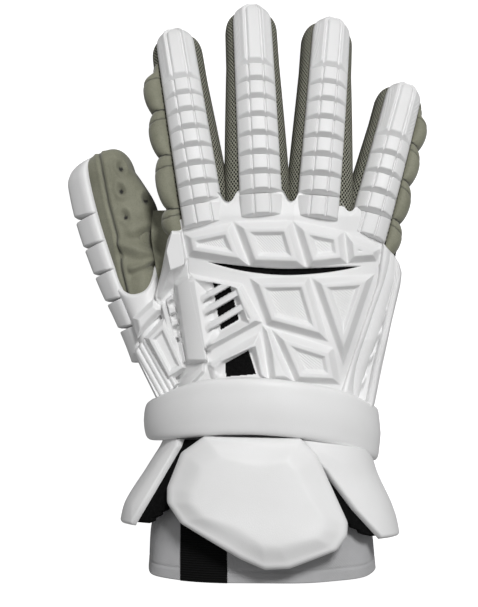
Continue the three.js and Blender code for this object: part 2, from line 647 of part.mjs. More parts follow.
// Pads down the index side, over the thumb base and down the outer edge.
const sideOutline = [
  [-60, 46], [-31.9, 46], [-29.2, 24.5], [-28.6, 17.2], [-18.4, -44], [-34.5, -44], [-41.5, 0], [-60, 20],
];
const [[lx, ly], , [mx, my]] = LADDER.path;
const rungs = Array.from({ length: LADDER.rungs }, (_, i) => {
  const t = (i + 0.6) / (LADDER.rungs + 0.2);
  const [x, y] = [lx + (mx - lx) * t, ly + (my - ly) * t];
  return strip([[x - 2, y], [x + 4, y + 0.6]], 2.4, 4.6);
});
const indexSide = onSkin(sideOutline, [...SIDE_TILES.map(tile), ...rungs]);
addPiece('index_side_block', indexSide.subtract(thumbGrown).subtract(digitPads), materials.white);
const thumbSkin = digitBody(DIGITS.thumb, GAP + SKIN, THUMB_START).subtract(thumbGrown);
const thumbBase = union([
  thumbSkin.intersect(prism(THUMB_WEB, DIGITS.thumb.z + 2)),
  skin.intersect(prism(THUMB_WEB, 40)),
  ...THUMB_TILES.map(tile),
]);
const baseRoom = union([handGrown, thumbGrown, thumbPadClear, indexSide]);
addPiece('thumb_base_pad', thumbBase.subtract(baseRoom), materials.white);
const railParts = [
  strip(OUTER_RAIL.path, OUTER_RAIL.width, 4.5),
  strip(OUTER_RAIL.rib, OUTER_RAIL.rib_width, 3.5),
];
const railOutline = [[77.4, 21.7], [76.8, 14], [59, -44], [100, -44], [100, 28]];
addPiece('outer_rail', onSkin(railOutline, railParts).subtract(digitPads), materials.white);

// Wrist: the fat roll, the inner cuff with its elastic panel, and the three loose flaps.
const handClear = handBody(2 * GAP, -70, KNUCKLE_END);
const rollClear = rollBody(GAP);
const onCuff = (floor) => (x, y, z) => {
  const share = clamp((CUFF_SLANT.from - y) / (CUFF_SLANT.from - CUFF_SLANT.to), 0, 1);
  const slant = CUFF_SLANT.low + ((CUFF_SLANT.top - CUFF_SLANT.low) * clamp(z, 0, 76)) / 76;
  return new THREE.Vector3(x, y + slant * share, Math.max(z, floor));
};
const cuffOuter = tableBody(CUFF, 0, -66.5, -147, onCuff(0));
const cuffInner = tableBody(CUFF, -CUFF_WALL, -66.4, -147.1, onCuff(CUFF_WALL));
const cuffTube = cuffOuter.subtract(cuffInner);
addPiece('wrist_roll', rollBody(0).subtract(handClear).subtract(cuffOuter), materials.white);
const panel = (grow) => prism([
  [ELASTIC.left - grow, -200], [ELASTIC.right + grow, -200], [ELASTIC.right + grow, ELASTIC.end + grow],
  [ELASTIC.left - grow, ELASTIC.end + grow],
], ELASTIC.above);
addPiece('wrist_cuff', cuffTube.subtract(panel(GAP)), materials.cuff);
addPiece('cuff_elastic', cuffTube.intersect(panel(0)), materials.black);

const bellLayer = (low, high) => tableBody(BELL, high, -60, -150).subtract(tableBody(BELL, low, -59, -151));
const inset = (outline, by) => {
  const middle = middleOf(outline);
  return outline.map(([x, y]) => {
    const [u, v] = [x - middle[0], y - middle[1]];
    const keep = 1 - by / Math.hypot(u, v);
    return [middle[0] + u * keep, middle[1] + v * keep];
  });
};
const shield = bellLayer(FLAP.shield_from, FLAP.shield).intersect(prism(SHIELD, 40));
const crown = bellLayer(FLAP.shield_from + 1, FLAP.crown).intersect(prism(inset(SHIELD, FLAP.inset), 40));
addPiece('cuff_shield', shield.add(crown).subtract(rollClear), materials.white);
const wingLayer = bellLayer(0, FLAP.wing);
const liningLayer = bellLayer(LINING.low, LINING.high);
const wings = [
  { side: 'thumb', plan: WING_THUMB, lining: LINING_THUMB },
  { side: 'outer', plan: WING_OUTER, lining: LINING_OUTER },
];
for (const { side, plan, lining } of wings) {
  const low = WING_LOW[side];
  const wing = wingLayer.intersect(prism(plan, low)).subtract(rollClear);
  const under = liningLayer.intersect(prism(lining, low + 2)).subtract(rollClear);
  addPiece('cuff_wing_' + side, wing, materials.white);
  addPiece('wing_lining_' + side, under, materials.black);
}

// The part's origin is the middle of its footprint on the surface.
const extent = new THREE.Box3().setFromObject(glove);
glove.position.set(-(extent.min.x + extent.max.x) / 2, -(extent.min.y + extent.max.y) / 2, -extent.min.z);

export default glove;
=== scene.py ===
"""Looks of a right-hand lacrosse glove lying palm down, laid out as an add-on and run as a script."""

import bmesh
import bpy
import numpy as np
from bpy.props import FloatProperty, FloatVectorProperty, PointerProperty
from bpy.types import Operator, Panel, PropertyGroup
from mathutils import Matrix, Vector


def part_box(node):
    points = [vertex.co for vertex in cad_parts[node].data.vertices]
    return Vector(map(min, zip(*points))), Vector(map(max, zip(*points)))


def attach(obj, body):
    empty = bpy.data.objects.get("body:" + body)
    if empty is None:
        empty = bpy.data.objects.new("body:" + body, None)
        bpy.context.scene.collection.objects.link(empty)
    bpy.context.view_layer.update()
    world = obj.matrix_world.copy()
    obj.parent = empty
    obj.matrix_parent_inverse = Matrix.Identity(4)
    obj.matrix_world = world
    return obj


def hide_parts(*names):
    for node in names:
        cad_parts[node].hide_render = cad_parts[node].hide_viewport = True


bl_info = {
    "name": "Lacrosse glove",
    "version": (1, 0, 0),
    "blender": (4, 5, 0),
    "location": "View3D > Sidebar > Glove",
    "description": "Builds the padded surfaces, cloth and leather of a lacrosse glove on its packed frame",
    "category": "Mesh",
}

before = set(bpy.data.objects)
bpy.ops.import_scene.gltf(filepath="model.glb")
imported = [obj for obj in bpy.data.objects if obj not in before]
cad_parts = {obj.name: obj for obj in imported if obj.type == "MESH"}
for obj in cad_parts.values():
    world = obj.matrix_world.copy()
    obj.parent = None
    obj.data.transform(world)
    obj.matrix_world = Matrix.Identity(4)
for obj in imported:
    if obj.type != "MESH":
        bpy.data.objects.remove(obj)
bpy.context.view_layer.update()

# Lengths in the tables below are millimetres about a drawing origin over the palm. The frame's own
# boxes tell where that origin lies.
MM = 0.001
CUFF_RIM_LEFT = -49.0
HAND_START = -66.0
ORIGIN = np.array([
    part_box("wrist_cuff")[0].x / MM - CUFF_RIM_LEFT,
    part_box("palm")[0].y / MM - HAND_START,
    0.0,
])

WALL = 1.8
SKIN = 2.0
ROUNDNESS = 2.6
SEAM_HEIGHT = -4.5

# Each digit: base of its centreline, heading, roll and pitch at base and tip, length, half sizes.
DIGITS = {
    "index": dict(x=-19.8, y=42.6, z=48.8, yaw=-8.7, roll=(4.5, -2), dip=(2, 42), length=119.5, a=15.6,
                  b=12.5, flare=(0, 2.6)),
    "middle": dict(x=11.4, y=47.5, z=51.6, yaw=-2.5, roll=(5, 4), dip=(2, 42), length=128, a=16, b=12.5,
                   flare=(3.8, 2)),
    "ring": dict(x=42.6, y=46.5, z=49.4, yaw=3.9, roll=(0, 13), dip=(2, 42), length=121.5, a=15.8, b=12.5,
                 flare=(2.4, 4.6)),
    "little": dict(x=69.6, y=35.5, z=41.0, yaw=15, roll=(0, 8), dip=(2, 42), length=96, a=14.8, b=11.8,
                   flare=(2.4, 0)),
    "thumb": dict(x=-44.5, y=-25, z=33, yaw=-15, roll=(-100, -100), dip=(6, 14), length=118, a=16.5, b=14.5,
                  flare=(0, 0)),
}
# The thumb stall: places along it, half depth on the side of the crotch and under the pad.
THUMB_DEPTH = np.array([
    (-18, 10.5, 6), (0, 10.5, 6.5), (21, 9.7, 9.5), (40, 10.3, 13.2), (58, 13.6, 15.5), (76, 18.6, 17),
    (95, 14, 17), (107, 9.5, 16), (118, 6, 14),
])
FINGERS = ("index", "middle", "ring", "little")

# Segmented pads: half width, rise, length of the tip cap, number of blocks and where the first starts.
BACKS = {
    "index": dict(half=11.6, rise=7, cap=37, blocks=8, start=-1),
    "middle": dict(half=11.7, rise=7, cap=43, blocks=8, start=-1),
    "ring": dict(half=11.6, rise=7, cap=37, blocks=8, start=-1),
    "little": dict(half=11, rise=7, cap=38, blocks=5, start=0),
    "thumb": dict(half=14, rise=10, cap=34, blocks=5, start=-6),
}
SIDE_ROLLS = {
    "index": dict(side=-1, start=28, ends=(53, 79, 108, 123), base=2.4, tall=4.8),
    "little": dict(side=1, start=18, ends=(39, 61, 83, 101), base=0.7, tall=4.2),
}

# Sections of the hand, cuff and flap bell: distance, centre, half width, top, widest and lowest height.
HAND = np.array([
    (-66, 15, 50, 68, 35, 4.5), (-40, 15, 50, 67, 35, 4.5), (-10, 19, 55, 66, 38, 9),
    (20, 23, 61, 65, 44, 22), (52, 25, 62.5, 64.5, 50.5, 37),
])
CUFF = np.array([
    (-147, 12.5, 63.5, 76, 38, -3.5), (-115, 13, 60, 75.5, 37, -3.5), (-90, 14.5, 51, 71, 36, 0),
    (-66.5, 15, 50, 68, 35, 4.5),
])
BELL = np.array([
    (-150, 11, 78, 82, 38, -8), (-130, 11, 75.5, 83, 38, -8), (-112, 10.5, 70.5, 81, 38, -8),
    (-90, 12.5, 59, 78.5, 38, -8), (-80, 14.5, 55, 77, 38, -8), (-60, 15, 50.5, 74, 37, -6),
])
KNUCKLE_END = 52.0
KNUCKLE_SWEEP = dict(centre=26, half=64, thumb_side=14, outer_side=25)
OUTER_DROP = dict(start=30, slope=0.17, low=-20, run=60)
CUFF_WALL = 3.5
CUFF_SLANT = dict(start=-100, end=-147, top=-5, low=6, tall=76)
ELASTIC = dict(left=-32, right=-6.5, end=-95)
ROLL = dict(y=-56, bow=-13, lean=-4.5, span=67, long=31, thick=16.4, reach=115, power=4.5, droop=34,
            narrow=1.2, shift=-2.0)

# Tiles over the knuckles and the back of the hand: plan corners, with sunk middles unless told.
KNUCKLE_TILES = [
    dict(corners=[(-30.7, 38.7), (-3.9, 44.2), (5.8, 20.2), (-27.9, 25.8)]),
    dict(corners=[(-2.8, 44.6), (28.8, 45), (36.4, 19.4), (6.5, 20.3)]),
    dict(corners=[(29.6, 45), (57.2, 39.6), (59.3, 21.9), (37.8, 19.4)]),
    dict(corners=[(57.9, 39.2), (78.6, 30.4), (76, 23.2), (59.9, 22)]),
]
BACK_TILES = [
    dict(corners=[(-26.9, 16.1), (1.6, 10.5), (12.6, -10.3), (-19.2, -27.7)], slope=2.6),
    dict(corners=[(5.8, 14), (38.2, 14.7), (48.8, -20.8), (15.2, -11.7)]),
    dict(corners=[(40, 14), (74.4, 16.0), (57.2, -34)]),
    dict(corners=[(-17.8, -33.2), (11.2, -15.5), (16, -41.6), (-15, -43)], sink=0),
    dict(corners=[(12.6, -11.6), (16.9, -13.4), (30.4, -42.8), (16.9, -42.8)], sink=0),
    dict(corners=[(17.6, -13.8), (51.6, -24.5), (55.6, -44.5), (30.8, -43)]),
]
VENT = dict(
    crest=[(-24.6, 13.6), (-1.6, 8.6), (6, -11.3), (-18.6, -24.0)],
    floor=[(-14.6, 12.4), (-5.0, 10.3), (-0.2, -8.6), (-10.4, -14.6), (-13.0, 3.6)],
    bars=[((-22.4, 1.1), (-5.8, 10.9)), ((-20.8, -5.7), (0.4, 6.7)), ((-19.2, -14.4), (2.9, -1.1))],
    width=4.0,
    ridge=[(-32, 16.2), (-22, 13.8), (-16.6, -25.6), (-26, -29)],
)
WINDOW = dict(
    crest=[(-17.4, -34.6), (9.2, -22.9), (15.6, -43), (-15, -45)],
    floor=[(-7.4, -32.6), (5.1, -25.6), (9.1, -38.4), (-6.9, -39.8)],
)
# The flex slot: its middle line, half the width of its lens and how far the edges cross at its ends.
SLOT = dict(x=(-17.4, 4, 23.2, 45, 67.3), y=(22.7, 18.9, 17.3, 18.1, 20.4), lens=2.5, cross=0.8)
# The stage: grey of the floor, strength of the world, and for each sun its way, size in degrees and strength.
FLOOR_GREY = 0.35
WORLD_LIGHT = 0.27
SUNS = {"key": ((0.3, 0.66, 1.0), 14, 2.3), "fill": ((-0.3, 0.2, 1.0), 60, 0.1)}
EYE_HEIGHT = 1500
VIEW_HEIGHT = 346.8


def smooth_step(low, high, x):
    """A smooth rise from 0 at low to 1 at high."""
    t = np.clip((x - low) / (high - low), 0, 1)
    return t * t * (3 - 2 * t)


def bell(x, width):
    """1 at 0, falling off as the exponent of minus the square of x over its width."""
    return np.exp(-((x / width) ** 2))


def round_over(distance, width):
    """A quarter round from 0 to 1 over a width."""
    return np.sqrt(np.clip(1 - (1 - np.clip(distance / width, 0, 1)) ** 2, 0, 1))


def curve_through(x, xs, ys):
    """A smooth curve through points, by cubic pieces whose slopes come from the neighbours."""
    xs, ys = np.asarray(xs, float), np.asarray(ys, float)
    slope = np.gradient(ys, xs)
    x = np.clip(x, xs[0], xs[-1])
    k = np.clip(np.searchsorted(xs, x) - 1, 0, len(xs) - 2)
    h = xs[k + 1] - xs[k]
    t = (x - xs[k]) / h
    return ((2 * t**3 - 3 * t**2 + 1) * ys[k] + (t**3 - 2 * t**2 + t) * h * slope[k]
            + (3 * t**2 - 2 * t**3) * ys[k + 1] + (t**3 - t**2) * h * slope[k + 1])


def squircle(angle, a, b, power=ROUNDNESS):
    """A superellipse of half sizes a and b at an angle round it."""
    c, s = np.cos(angle), np.sin(angle)
    return a * np.sign(c) * np.abs(c) ** (2 / power), b * np.sign(s) * np.abs(s) ** (2 / power)


def section(table, y):
    """Centre, half width, top, widest and lowest height of a table's section at distances y."""
    return [curve_through(y, table[:, 0], table[:, i]) for i in range(1, 6)]


def knuckle_bend(x, y, z):
    """The hand's end swept back at both sides, and its outer side dropped."""
    across = (x - KNUCKLE_SWEEP["centre"]) / KNUCKLE_SWEEP["half"]
    sweep = np.where(across < 0, KNUCKLE_SWEEP["thumb_side"], KNUCKLE_SWEEP["outer_side"])
    back = np.maximum(0, y) / KNUCKLE_END * sweep * across**2
    drop = (OUTER_DROP["slope"] * np.maximum(0, x - OUTER_DROP["start"])
            * np.clip((y - OUTER_DROP["low"]) / OUTER_DROP["run"], 0, 1))
    return x, y - back, z - drop


def cuff_bend(floor):
    """The cuff's end cut at a slant, and its underside pressed level where it rests."""
    def place(x, y, z):
        run = CUFF_SLANT["start"] - CUFF_SLANT["end"]
        share = np.clip((CUFF_SLANT["start"] - y) / run, 0, 1)
        slant = CUFF_SLANT["low"] + (CUFF_SLANT["top"] - CUFF_SLANT["low"]) * (
            np.clip(z, 0, CUFF_SLANT["tall"]) / CUFF_SLANT["tall"])
        return x, y + slant * share, np.maximum(z, floor)
    return place


def around(table, y, angle, grow, bend=None):
    """Points of a table's form at distances y and angles round it, grown outwards."""
    centre, half, top, mid, low = section(table, y)
    tall = np.where(np.sin(angle) > 0, top - mid, mid - low)
    u, v = squircle(angle, half + grow, tall + grow)
    x, y, z = centre + u, y + 0 * u, mid + v
    if bend:
        x, y, z = bend(x, y, z)
    return np.stack(np.broadcast_arrays(x, y, z), -1)


def height_over(table, x, y, grow=0.0):
    """Height of a table's form over plan points, carried level past its sides."""
    centre, half, top, mid, _ = section(table, y)
    across = np.clip(np.abs(x - centre) / (half + grow), 0, 0.97)
    return mid + (top - mid + grow) * (1 - across**ROUNDNESS) ** (1 / ROUNDNESS)


def hand_height(x, y):
    """Height of the back of the hand over plan points."""
    return knuckle_bend(x, y, height_over(HAND, x, np.clip(y, HAND_START, KNUCKLE_END)))[2]


def angle_at(table, x, y, grow=0.0):
    """The angle round the upper half of a table's section at which it reaches a plan x."""
    centre, half = section(table, y)[:2]
    q = np.clip((x - centre) / (half + grow), -1, 1)
    return np.arccos(np.sign(q) * np.abs(q) ** (ROUNDNESS / 2))


def angle_down(table, y, z, side, grow=0.0):
    """The angle round a table's section at which one of its sides has come down to a height z."""
    _, _, top, mid, low = section(table, y)
    q = np.clip((z - mid) / (np.where(z > mid, top - mid, mid - low) + grow), -1, 1)
    turn = np.arcsin(np.sign(q) * np.abs(q) ** (ROUNDNESS / 2))
    return turn if side > 0 else np.pi - turn


def on_digit(d, side, along, up):
    """A digit's own side, along and up carried onto its bent centreline."""
    p0, p1 = np.radians(d["dip"])
    rate = (p1 - p0) / d["length"]
    p = p0 + rate * along
    reach = (np.sin(p) - np.sin(p0)) / rate
    drop = (np.cos(p0) - np.cos(p)) / rate
    yaw = np.radians(d["yaw"])
    twist = d["roll"][1] - d["roll"][0]
    roll = np.radians(d["roll"][0] + twist * np.clip(along / d["length"], 0, 1))[..., None]
    ahead = np.array([np.sin(yaw), np.cos(yaw), 0])
    flat = np.array([np.cos(yaw), -np.sin(yaw), 0])
    up_dir = ahead * np.sin(p)[..., None] + np.array([0, 0, 1.0]) * np.cos(p)[..., None]
    sideways = flat * np.cos(roll) - up_dir * np.sin(roll)
    upwards = up_dir * np.cos(roll) + flat * np.sin(roll)
    base = np.array([d["x"], d["y"], d["z"]], float)
    return (base + ahead * reach[..., None] - np.array([0, 0, 1.0]) * drop[..., None]
            + sideways * side[..., None] + upwards * up[..., None])


def taper_at(d, along):
    return 1 - 0.1 * np.clip(along / d["length"], 0, 1)


def half_at(d, along, side):
    """Half width of a digit along it, flared towards its base by its own measure for each side."""
    flare = np.where(side < 0, *d["flare"])
    return d["a"] * taper_at(d, along) + flare * np.clip(1 - along / (0.7 * d["length"]), 0, 1.05)


def depth_at(d, along, pad_side=True):
    """Half height of a digit along it: the thumb stall is narrow at the crotch and wide at its ball."""
    if d is DIGITS["thumb"]:
        crotch, under_pad = (curve_through(along, THUMB_DEPTH[:, 0], THUMB_DEPTH[:, k]) for k in (1, 2))
        return np.where(pad_side, under_pad, crotch)
    return d["b"] * taper_at(d, along)


def tip_start(d):
    return d["length"] - d["a"]


def digit_rows(d, start=0.0, steps=50, tip_steps=36):
    """Stations up a digit's left side, round its tip and down its right side: along, turn."""
    up = np.linspace(start, tip_start(d), steps, endpoint=False)
    quarter = np.pi / 2
    along = np.concatenate([up, np.full(tip_steps + 1, tip_start(d)), up[::-1]])
    turn = np.concatenate([
        np.full(steps, -quarter), np.linspace(-quarter, quarter, tip_steps + 1), np.full(steps, quarter),
    ])
    return along[:, None], turn[:, None]


TIP_POWER = 2.4


def blunt(share):
    """A circle's share of its radius, made a little fuller for the tip of a digit."""
    return np.sign(share) * np.abs(share) ** (2 / TIP_POWER)


def tip_radius(side, past):
    """Distance from the middle of a digit's tip, measured so that its blunt outline is level."""
    return (np.abs(side) ** TIP_POWER + past**TIP_POWER) ** (1 / TIP_POWER)


def digit_skin(d, along, turn, level, grow=0.0):
    """Points of a digit's surface on rows of stations and columns of levels, grown outwards."""
    depth = depth_at(d, along, level > 0)
    w, up = squircle(level + 0 * along, half_at(d, along, turn) + grow, depth + grow)
    side, reach = blunt(np.sin(turn)) * w, along + blunt(np.cos(turn)) * w
    return on_digit(d, side, reach, up + 0 * side)


def digit_ceiling(d, side, along):
    """Height of a digit's surface over a side distance, at a place along it."""
    past = np.maximum(0, along - tip_start(d))
    width = np.minimum(tip_radius(side, past) / half_at(d, along, side), 1)
    return depth_at(d, along) * (1 - width**ROUNDNESS) ** (1 / ROUNDNESS)


def level_of_height(d, n):
    return np.sign(n) * np.arcsin((abs(n) / d["b"]) ** (ROUNDNESS / 2))


def level_of_width(d, w):
    return np.arccos((w / d["a"]) ** (ROUNDNESS / 2))


def in_digit(d, points, grow):
    """Whether points lie within a digit's straight part, grown: by stepping along its centreline."""
    found = np.zeros(points.shape[:-1], bool)
    for along in np.linspace(-4, 10, 8):
        centre = on_digit(d, np.zeros(1), np.array([along]), np.zeros(1))[0]
        side = on_digit(d, np.ones(1), np.array([along]), np.zeros(1))[0] - centre
        up = on_digit(d, np.zeros(1), np.array([along]), np.ones(1))[0] - centre
        away = points - centre
        ahead = np.cross(up, side)
        u = np.abs(away @ side) / (d["a"] + grow)
        v = np.abs(away @ up) / (d["b"] + grow)
        found |= (np.abs(away @ ahead) < 1.1) & (u**ROUNDNESS + v**ROUNDNESS < 1)
    return found


# Distances inside outlines, from which tiles, slots and ribs take their heights.


def inside(x, y, corners):
    """Distance of plan points inside a convex outline, negative outside it."""
    corners = np.asarray(corners, float)
    after = np.roll(corners, -1, 0)
    turn = np.sign(np.sum(corners[:, 0] * after[:, 1] - corners[:, 1] * after[:, 0]))
    least = np.full(np.shape(x), 1e9)
    for (x0, y0), (x1, y1) in zip(corners, after):
        length = np.hypot(x1 - x0, y1 - y0)
        least = np.minimum(least, turn * ((x1 - x0) * (y - y0) - (y1 - y0) * (x - x0)) / length)
    return least


def bevel(distance, width, softness=0.35):
    """A straight ramp from 0 to 1 over a width, eased at its foot and its crest."""
    t = distance / width
    s = softness / 2
    ramp = np.clip(t, 0, 1)
    ramp = np.where(np.abs(t) < s, (t + s) ** 2 / (4 * s), ramp)
    return np.where(np.abs(t - 1) < s, 1 - (1 + s - t) ** 2 / (4 * s), ramp)


def tile_height(x, y, rise, corners, slope=3.4, rim=2.2, inner=1.9, sink=2.6):
    """A raised tile: a sloping outer face, a level rim, and a sunk middle."""
    d = inside(x, y, corners)
    return rise * bevel(d, slope, 0.25) - sink * bevel(d - slope - rim, inner, 0.3)


def sunk_mark(x, y, corners, slope=3.4, rim=2.2, inner=1.9):
    """1 on the sunk floor of a tile, where its skin is pressed with fine lines."""
    return smooth_step(-0.4, 0.4, inside(x, y, corners) - slope - rim - inner)


def between_outlines(x, y, outer, inner):
    """0 outside an outer outline and 1 within an inner one, rising evenly between the two."""
    out = np.maximum(inside(x, y, outer), 0)
    rest = np.maximum(-inside(x, y, inner), 0)
    return out / np.maximum(out + rest, 1e-6)


def along_bar(x, y, start, end, half):
    """Distance inside a straight bar between two plan points, negative outside it."""
    (x0, y0), (x1, y1) = start, end
    length = np.hypot(x1 - x0, y1 - y0)
    u = ((x - x0) * (x1 - x0) + (y - y0) * (y1 - y0)) / length
    v = ((x - x0) * (y1 - y0) - (y - y0) * (x1 - x0)) / length
    return np.minimum(half - np.abs(v), np.minimum(u, length - u))


def path_distance(x, y, path):
    """Distance of plan points from a path of straight stretches."""
    least = np.full(np.shape(x), 1e9)
    for (x0, y0), (x1, y1) in zip(path[:-1], path[1:]):
        square = (x1 - x0) ** 2 + (y1 - y0) ** 2
        t = np.clip(((x - x0) * (x1 - x0) + (y - y0) * (y1 - y0)) / square, 0, 1)
        least = np.minimum(least, np.hypot(x - x0 - t * (x1 - x0), y - y0 - t * (y1 - y0)))
    return least


# Meshes.


def wall(outer, inner, keep=None, joined=()):
    """A closed wall between two like grids over the kept cells, its edges closed.

    joined names those of its left and right sides that meet another side, and so get no edge.
    """
    rows, columns = outer.shape[:2]
    count = rows * columns
    ids = np.arange(count).reshape(rows, columns)
    if keep is None:
        keep = np.ones((rows - 1, columns - 1), bool)
    a, b, c, e = ids[:-1, :-1], ids[1:, :-1], ids[1:, 1:], ids[:-1, 1:]
    over = np.stack([a, b, c, e], -1)[keep]
    full = np.pad(keep, 1)
    full[:, 0] |= "left" in joined
    full[:, -1] |= "right" in joined
    faces = [over, over[:, ::-1] + count]
    for first, second, down, along in ((a, b, 0, -1), (b, c, 1, 0), (c, e, 0, 1), (e, a, -1, 0)):
        rim = keep & ~full[1 + down:rows + down, 1 + along:columns + along]
        faces.append(np.stack([second[rim], first[rim], first[rim] + count, second[rim] + count], -1))
    points = np.concatenate([outer.reshape(-1, 3), inner.reshape(-1, 3)])
    return points, np.concatenate(faces)


def tube(grid):
    """Faces over rows of rings, each end drawn together at its middle."""
    hubs = [np.repeat(row.mean(0)[None, None, :], grid.shape[1], 1) for row in (grid[0], grid[-1])]
    grid = np.concatenate([hubs[0], grid, hubs[1]], 0)
    rows, columns = grid.shape[:2]
    i = np.arange(rows - 1)[:, None]
    j = np.arange(columns)[None, :]
    k = (j + 1) % columns
    quads = [i * columns + j, (i + 1) * columns + j, (i + 1) * columns + k, i * columns + k]
    return grid.reshape(-1, 3), np.stack(quads, -1).reshape(-1, 4)


def grid_uv(shape, points):
    """Lengths along and across a grid, so that a weave keeps its scale on it."""
    grid = points[:shape[0] * shape[1]].reshape(*shape, 3)
    down = np.linalg.norm(np.diff(grid, axis=0), axis=-1).max(1)
    over = np.linalg.norm(np.diff(grid, axis=1), axis=-1).max(0)
    v = np.concatenate([[0], np.cumsum(down)])[:, None] + np.zeros(shape[1])
    u = np.concatenate([[0], np.cumsum(over)])[None, :] + np.zeros((shape[0], 1))
    return np.stack([u, v], -1).reshape(-1, 2)


def add_piece(name, parts, node, materials, paint=None, uv=None, extra=(), finish=None):
    """A piece at the frame's origin from parts of (points in drawing millimetres, quads).

    It rides on the one body and stands for its nodes. materials are names of finishes. paint is a value
    for each point, kept as the attribute mark. finish chooses a material for each face from its middle.
    """
    points, faces, count = [], [], 0
    for part_points, part_faces in parts:
        points.append(part_points)
        faces.append(part_faces + count)
        count += len(part_points)
    points, faces = np.concatenate(points), np.concatenate(faces)
    co = (points + ORIGIN) * MM
    mesh = bpy.data.meshes.new(name)
    mesh.vertices.add(len(co))
    mesh.vertices.foreach_set("co", co.astype(np.float32).ravel())
    mesh.loops.add(faces.size)
    mesh.loops.foreach_set("vertex_index", faces.astype(np.int32).ravel())
    mesh.polygons.add(len(faces))
    mesh.polygons.foreach_set("loop_start", np.arange(0, faces.size, 4, dtype=np.int32))
    mesh.update(calc_edges=True)
    if uv is not None:
        spread = np.zeros((len(co), 2))
        spread[:len(uv)] = uv
        spread[len(uv):2 * len(uv)] = uv[:max(0, min(len(uv), len(co) - len(uv)))]
        layer = mesh.uv_layers.new(name="cloth")
        layer.data.foreach_set("uv", (spread[faces.ravel()] * MM).astype(np.float32).ravel())
    mark = mesh.attributes.new("mark", "FLOAT", "POINT")
    value = np.zeros(len(co), np.float32)
    if paint is not None:
        paint = np.ravel(paint)
        value[:len(paint)] = paint
    mark.data.foreach_set("value", value)
    for material in materials:
        mesh.materials.append(finish_of(material))
    weld(mesh)
    mesh.polygons.foreach_set("use_smooth", np.ones(len(mesh.polygons), bool))
    if finish is not None:
        middle = np.zeros(len(mesh.polygons) * 3, np.float32)
        mesh.polygons.foreach_get("center", middle)
        chosen = finish(*(middle.reshape(-1, 3) / MM - ORIGIN).T)
        mesh.polygons.foreach_set("material_index", chosen.astype(np.int32))
    piece = bpy.data.objects.new(name, mesh)
    bpy.context.scene.collection.objects.link(piece)
    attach(piece, "root")
    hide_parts(node, *extra)
    return piece


def weld(mesh, distance=2e-5):
    """Merges points that lie on each other, drops closed-up faces and turns the faces outwards."""
    work = bmesh.new()
    work.from_mesh(mesh)
    bmesh.ops.remove_doubles(work, verts=work.verts, dist=distance)
    bmesh.ops.dissolve_degenerate(work, edges=work.edges, dist=distance / 4)
    bmesh.ops.recalc_face_normals(work, faces=work.faces)
    if work.calc_volume(signed=True) < 0:
        bmesh.ops.reverse_faces(work, faces=work.faces)
    work.to_mesh(mesh)
    work.free()


# Materials.


class Finish:
    """A node material built from the outside in, with the same few steps for each cloth or leather."""

    def __init__(self, name, colour, rough, **sockets):
        self.material = bpy.data.materials.new(name)
        self.material.use_nodes = True
        self.tree = self.material.node_tree
        self.shader = self.tree.nodes["Principled BSDF"]
        self.shader.inputs["Base Color"].default_value = (*colour, 1)
        self.shader.inputs["Roughness"].default_value = rough
        for socket, value in sockets.items():
            self.shader.inputs[socket.replace("_", " ")].default_value = value
        self.height = None
        self.base = None
        self.colour = colour
        self.place = self.node("ShaderNodeTexCoord").outputs["Object"]

    def node(self, kind, links=(), **values):
        made = self.tree.nodes.new(kind)
        for key, value in values.items():
            setattr(made, key, value)
        for socket, source in dict(links).items():
            if isinstance(source, bpy.types.NodeSocket):
                self.tree.links.new(source, made.inputs[socket])
            else:
                made.inputs[socket].default_value = source
        return made

    def maths(self, operation, a, b=0.0):
        return self.node("ShaderNodeMath", {0: a, 1: b}, operation=operation).outputs[0]

    def noise(self, scale, detail=3.0, rough=0.55):
        links = {"Vector": self.place, "Scale": scale, "Detail": detail, "Roughness": rough}
        return self.node("ShaderNodeTexNoise", links).outputs[0]

    def cells(self, scale):
        return self.node("ShaderNodeTexVoronoi", {"Vector": self.place, "Scale": scale}).outputs["Distance"]

    def yarns(self, axis, pitch, wobble=0.0):
        """A sine over the piece's own lengths, across it (0) or along it (1), a pitch of millimetres long."""
        flat = self.node("ShaderNodeUVMap", uv_map="cloth").outputs[0]
        length = self.node("ShaderNodeSeparateXYZ", {0: flat}).outputs[axis]
        turn = self.maths("MULTIPLY", length, 2 * np.pi / (pitch * MM))
        return self.maths("SINE", self.maths("ADD", turn, wobble))

    def steps(self, value, low, high, start=0.0, end=1.0):
        links = {"Value": value, "From Min": low, "From Max": high, "To Min": start, "To Max": end}
        return self.node("ShaderNodeMapRange", links).outputs[0]

    def mark(self):
        return self.node("ShaderNodeAttribute", attribute_name="mark").outputs["Fac"]

    def tint(self, factor, colour):
        """Mixes another colour in by a factor."""
        links = {"Factor": factor, 6: self.base or (*self.colour, 1), 7: (*colour, 1)}
        mixed = self.node("ShaderNodeMix", links, data_type="RGBA")
        self.base = mixed.outputs[2]
        self.tree.links.new(self.base, self.shader.inputs["Base Color"])

    def emboss(self, value, depth, strength=1.0):
        """Adds a bump whose full height is depth millimetres."""
        links = {"Height": value, "Distance": depth * MM, "Strength": strength}
        if self.height:
            links["Normal"] = self.height
        made = self.node("ShaderNodeBump", links)
        self.height = made.outputs["Normal"]
        self.tree.links.new(self.height, self.shader.inputs["Normal"])

    def roughen(self, value, low, high):
        self.tree.links.new(self.steps(value, 0.3, 0.7, low, high), self.shader.inputs["Roughness"])


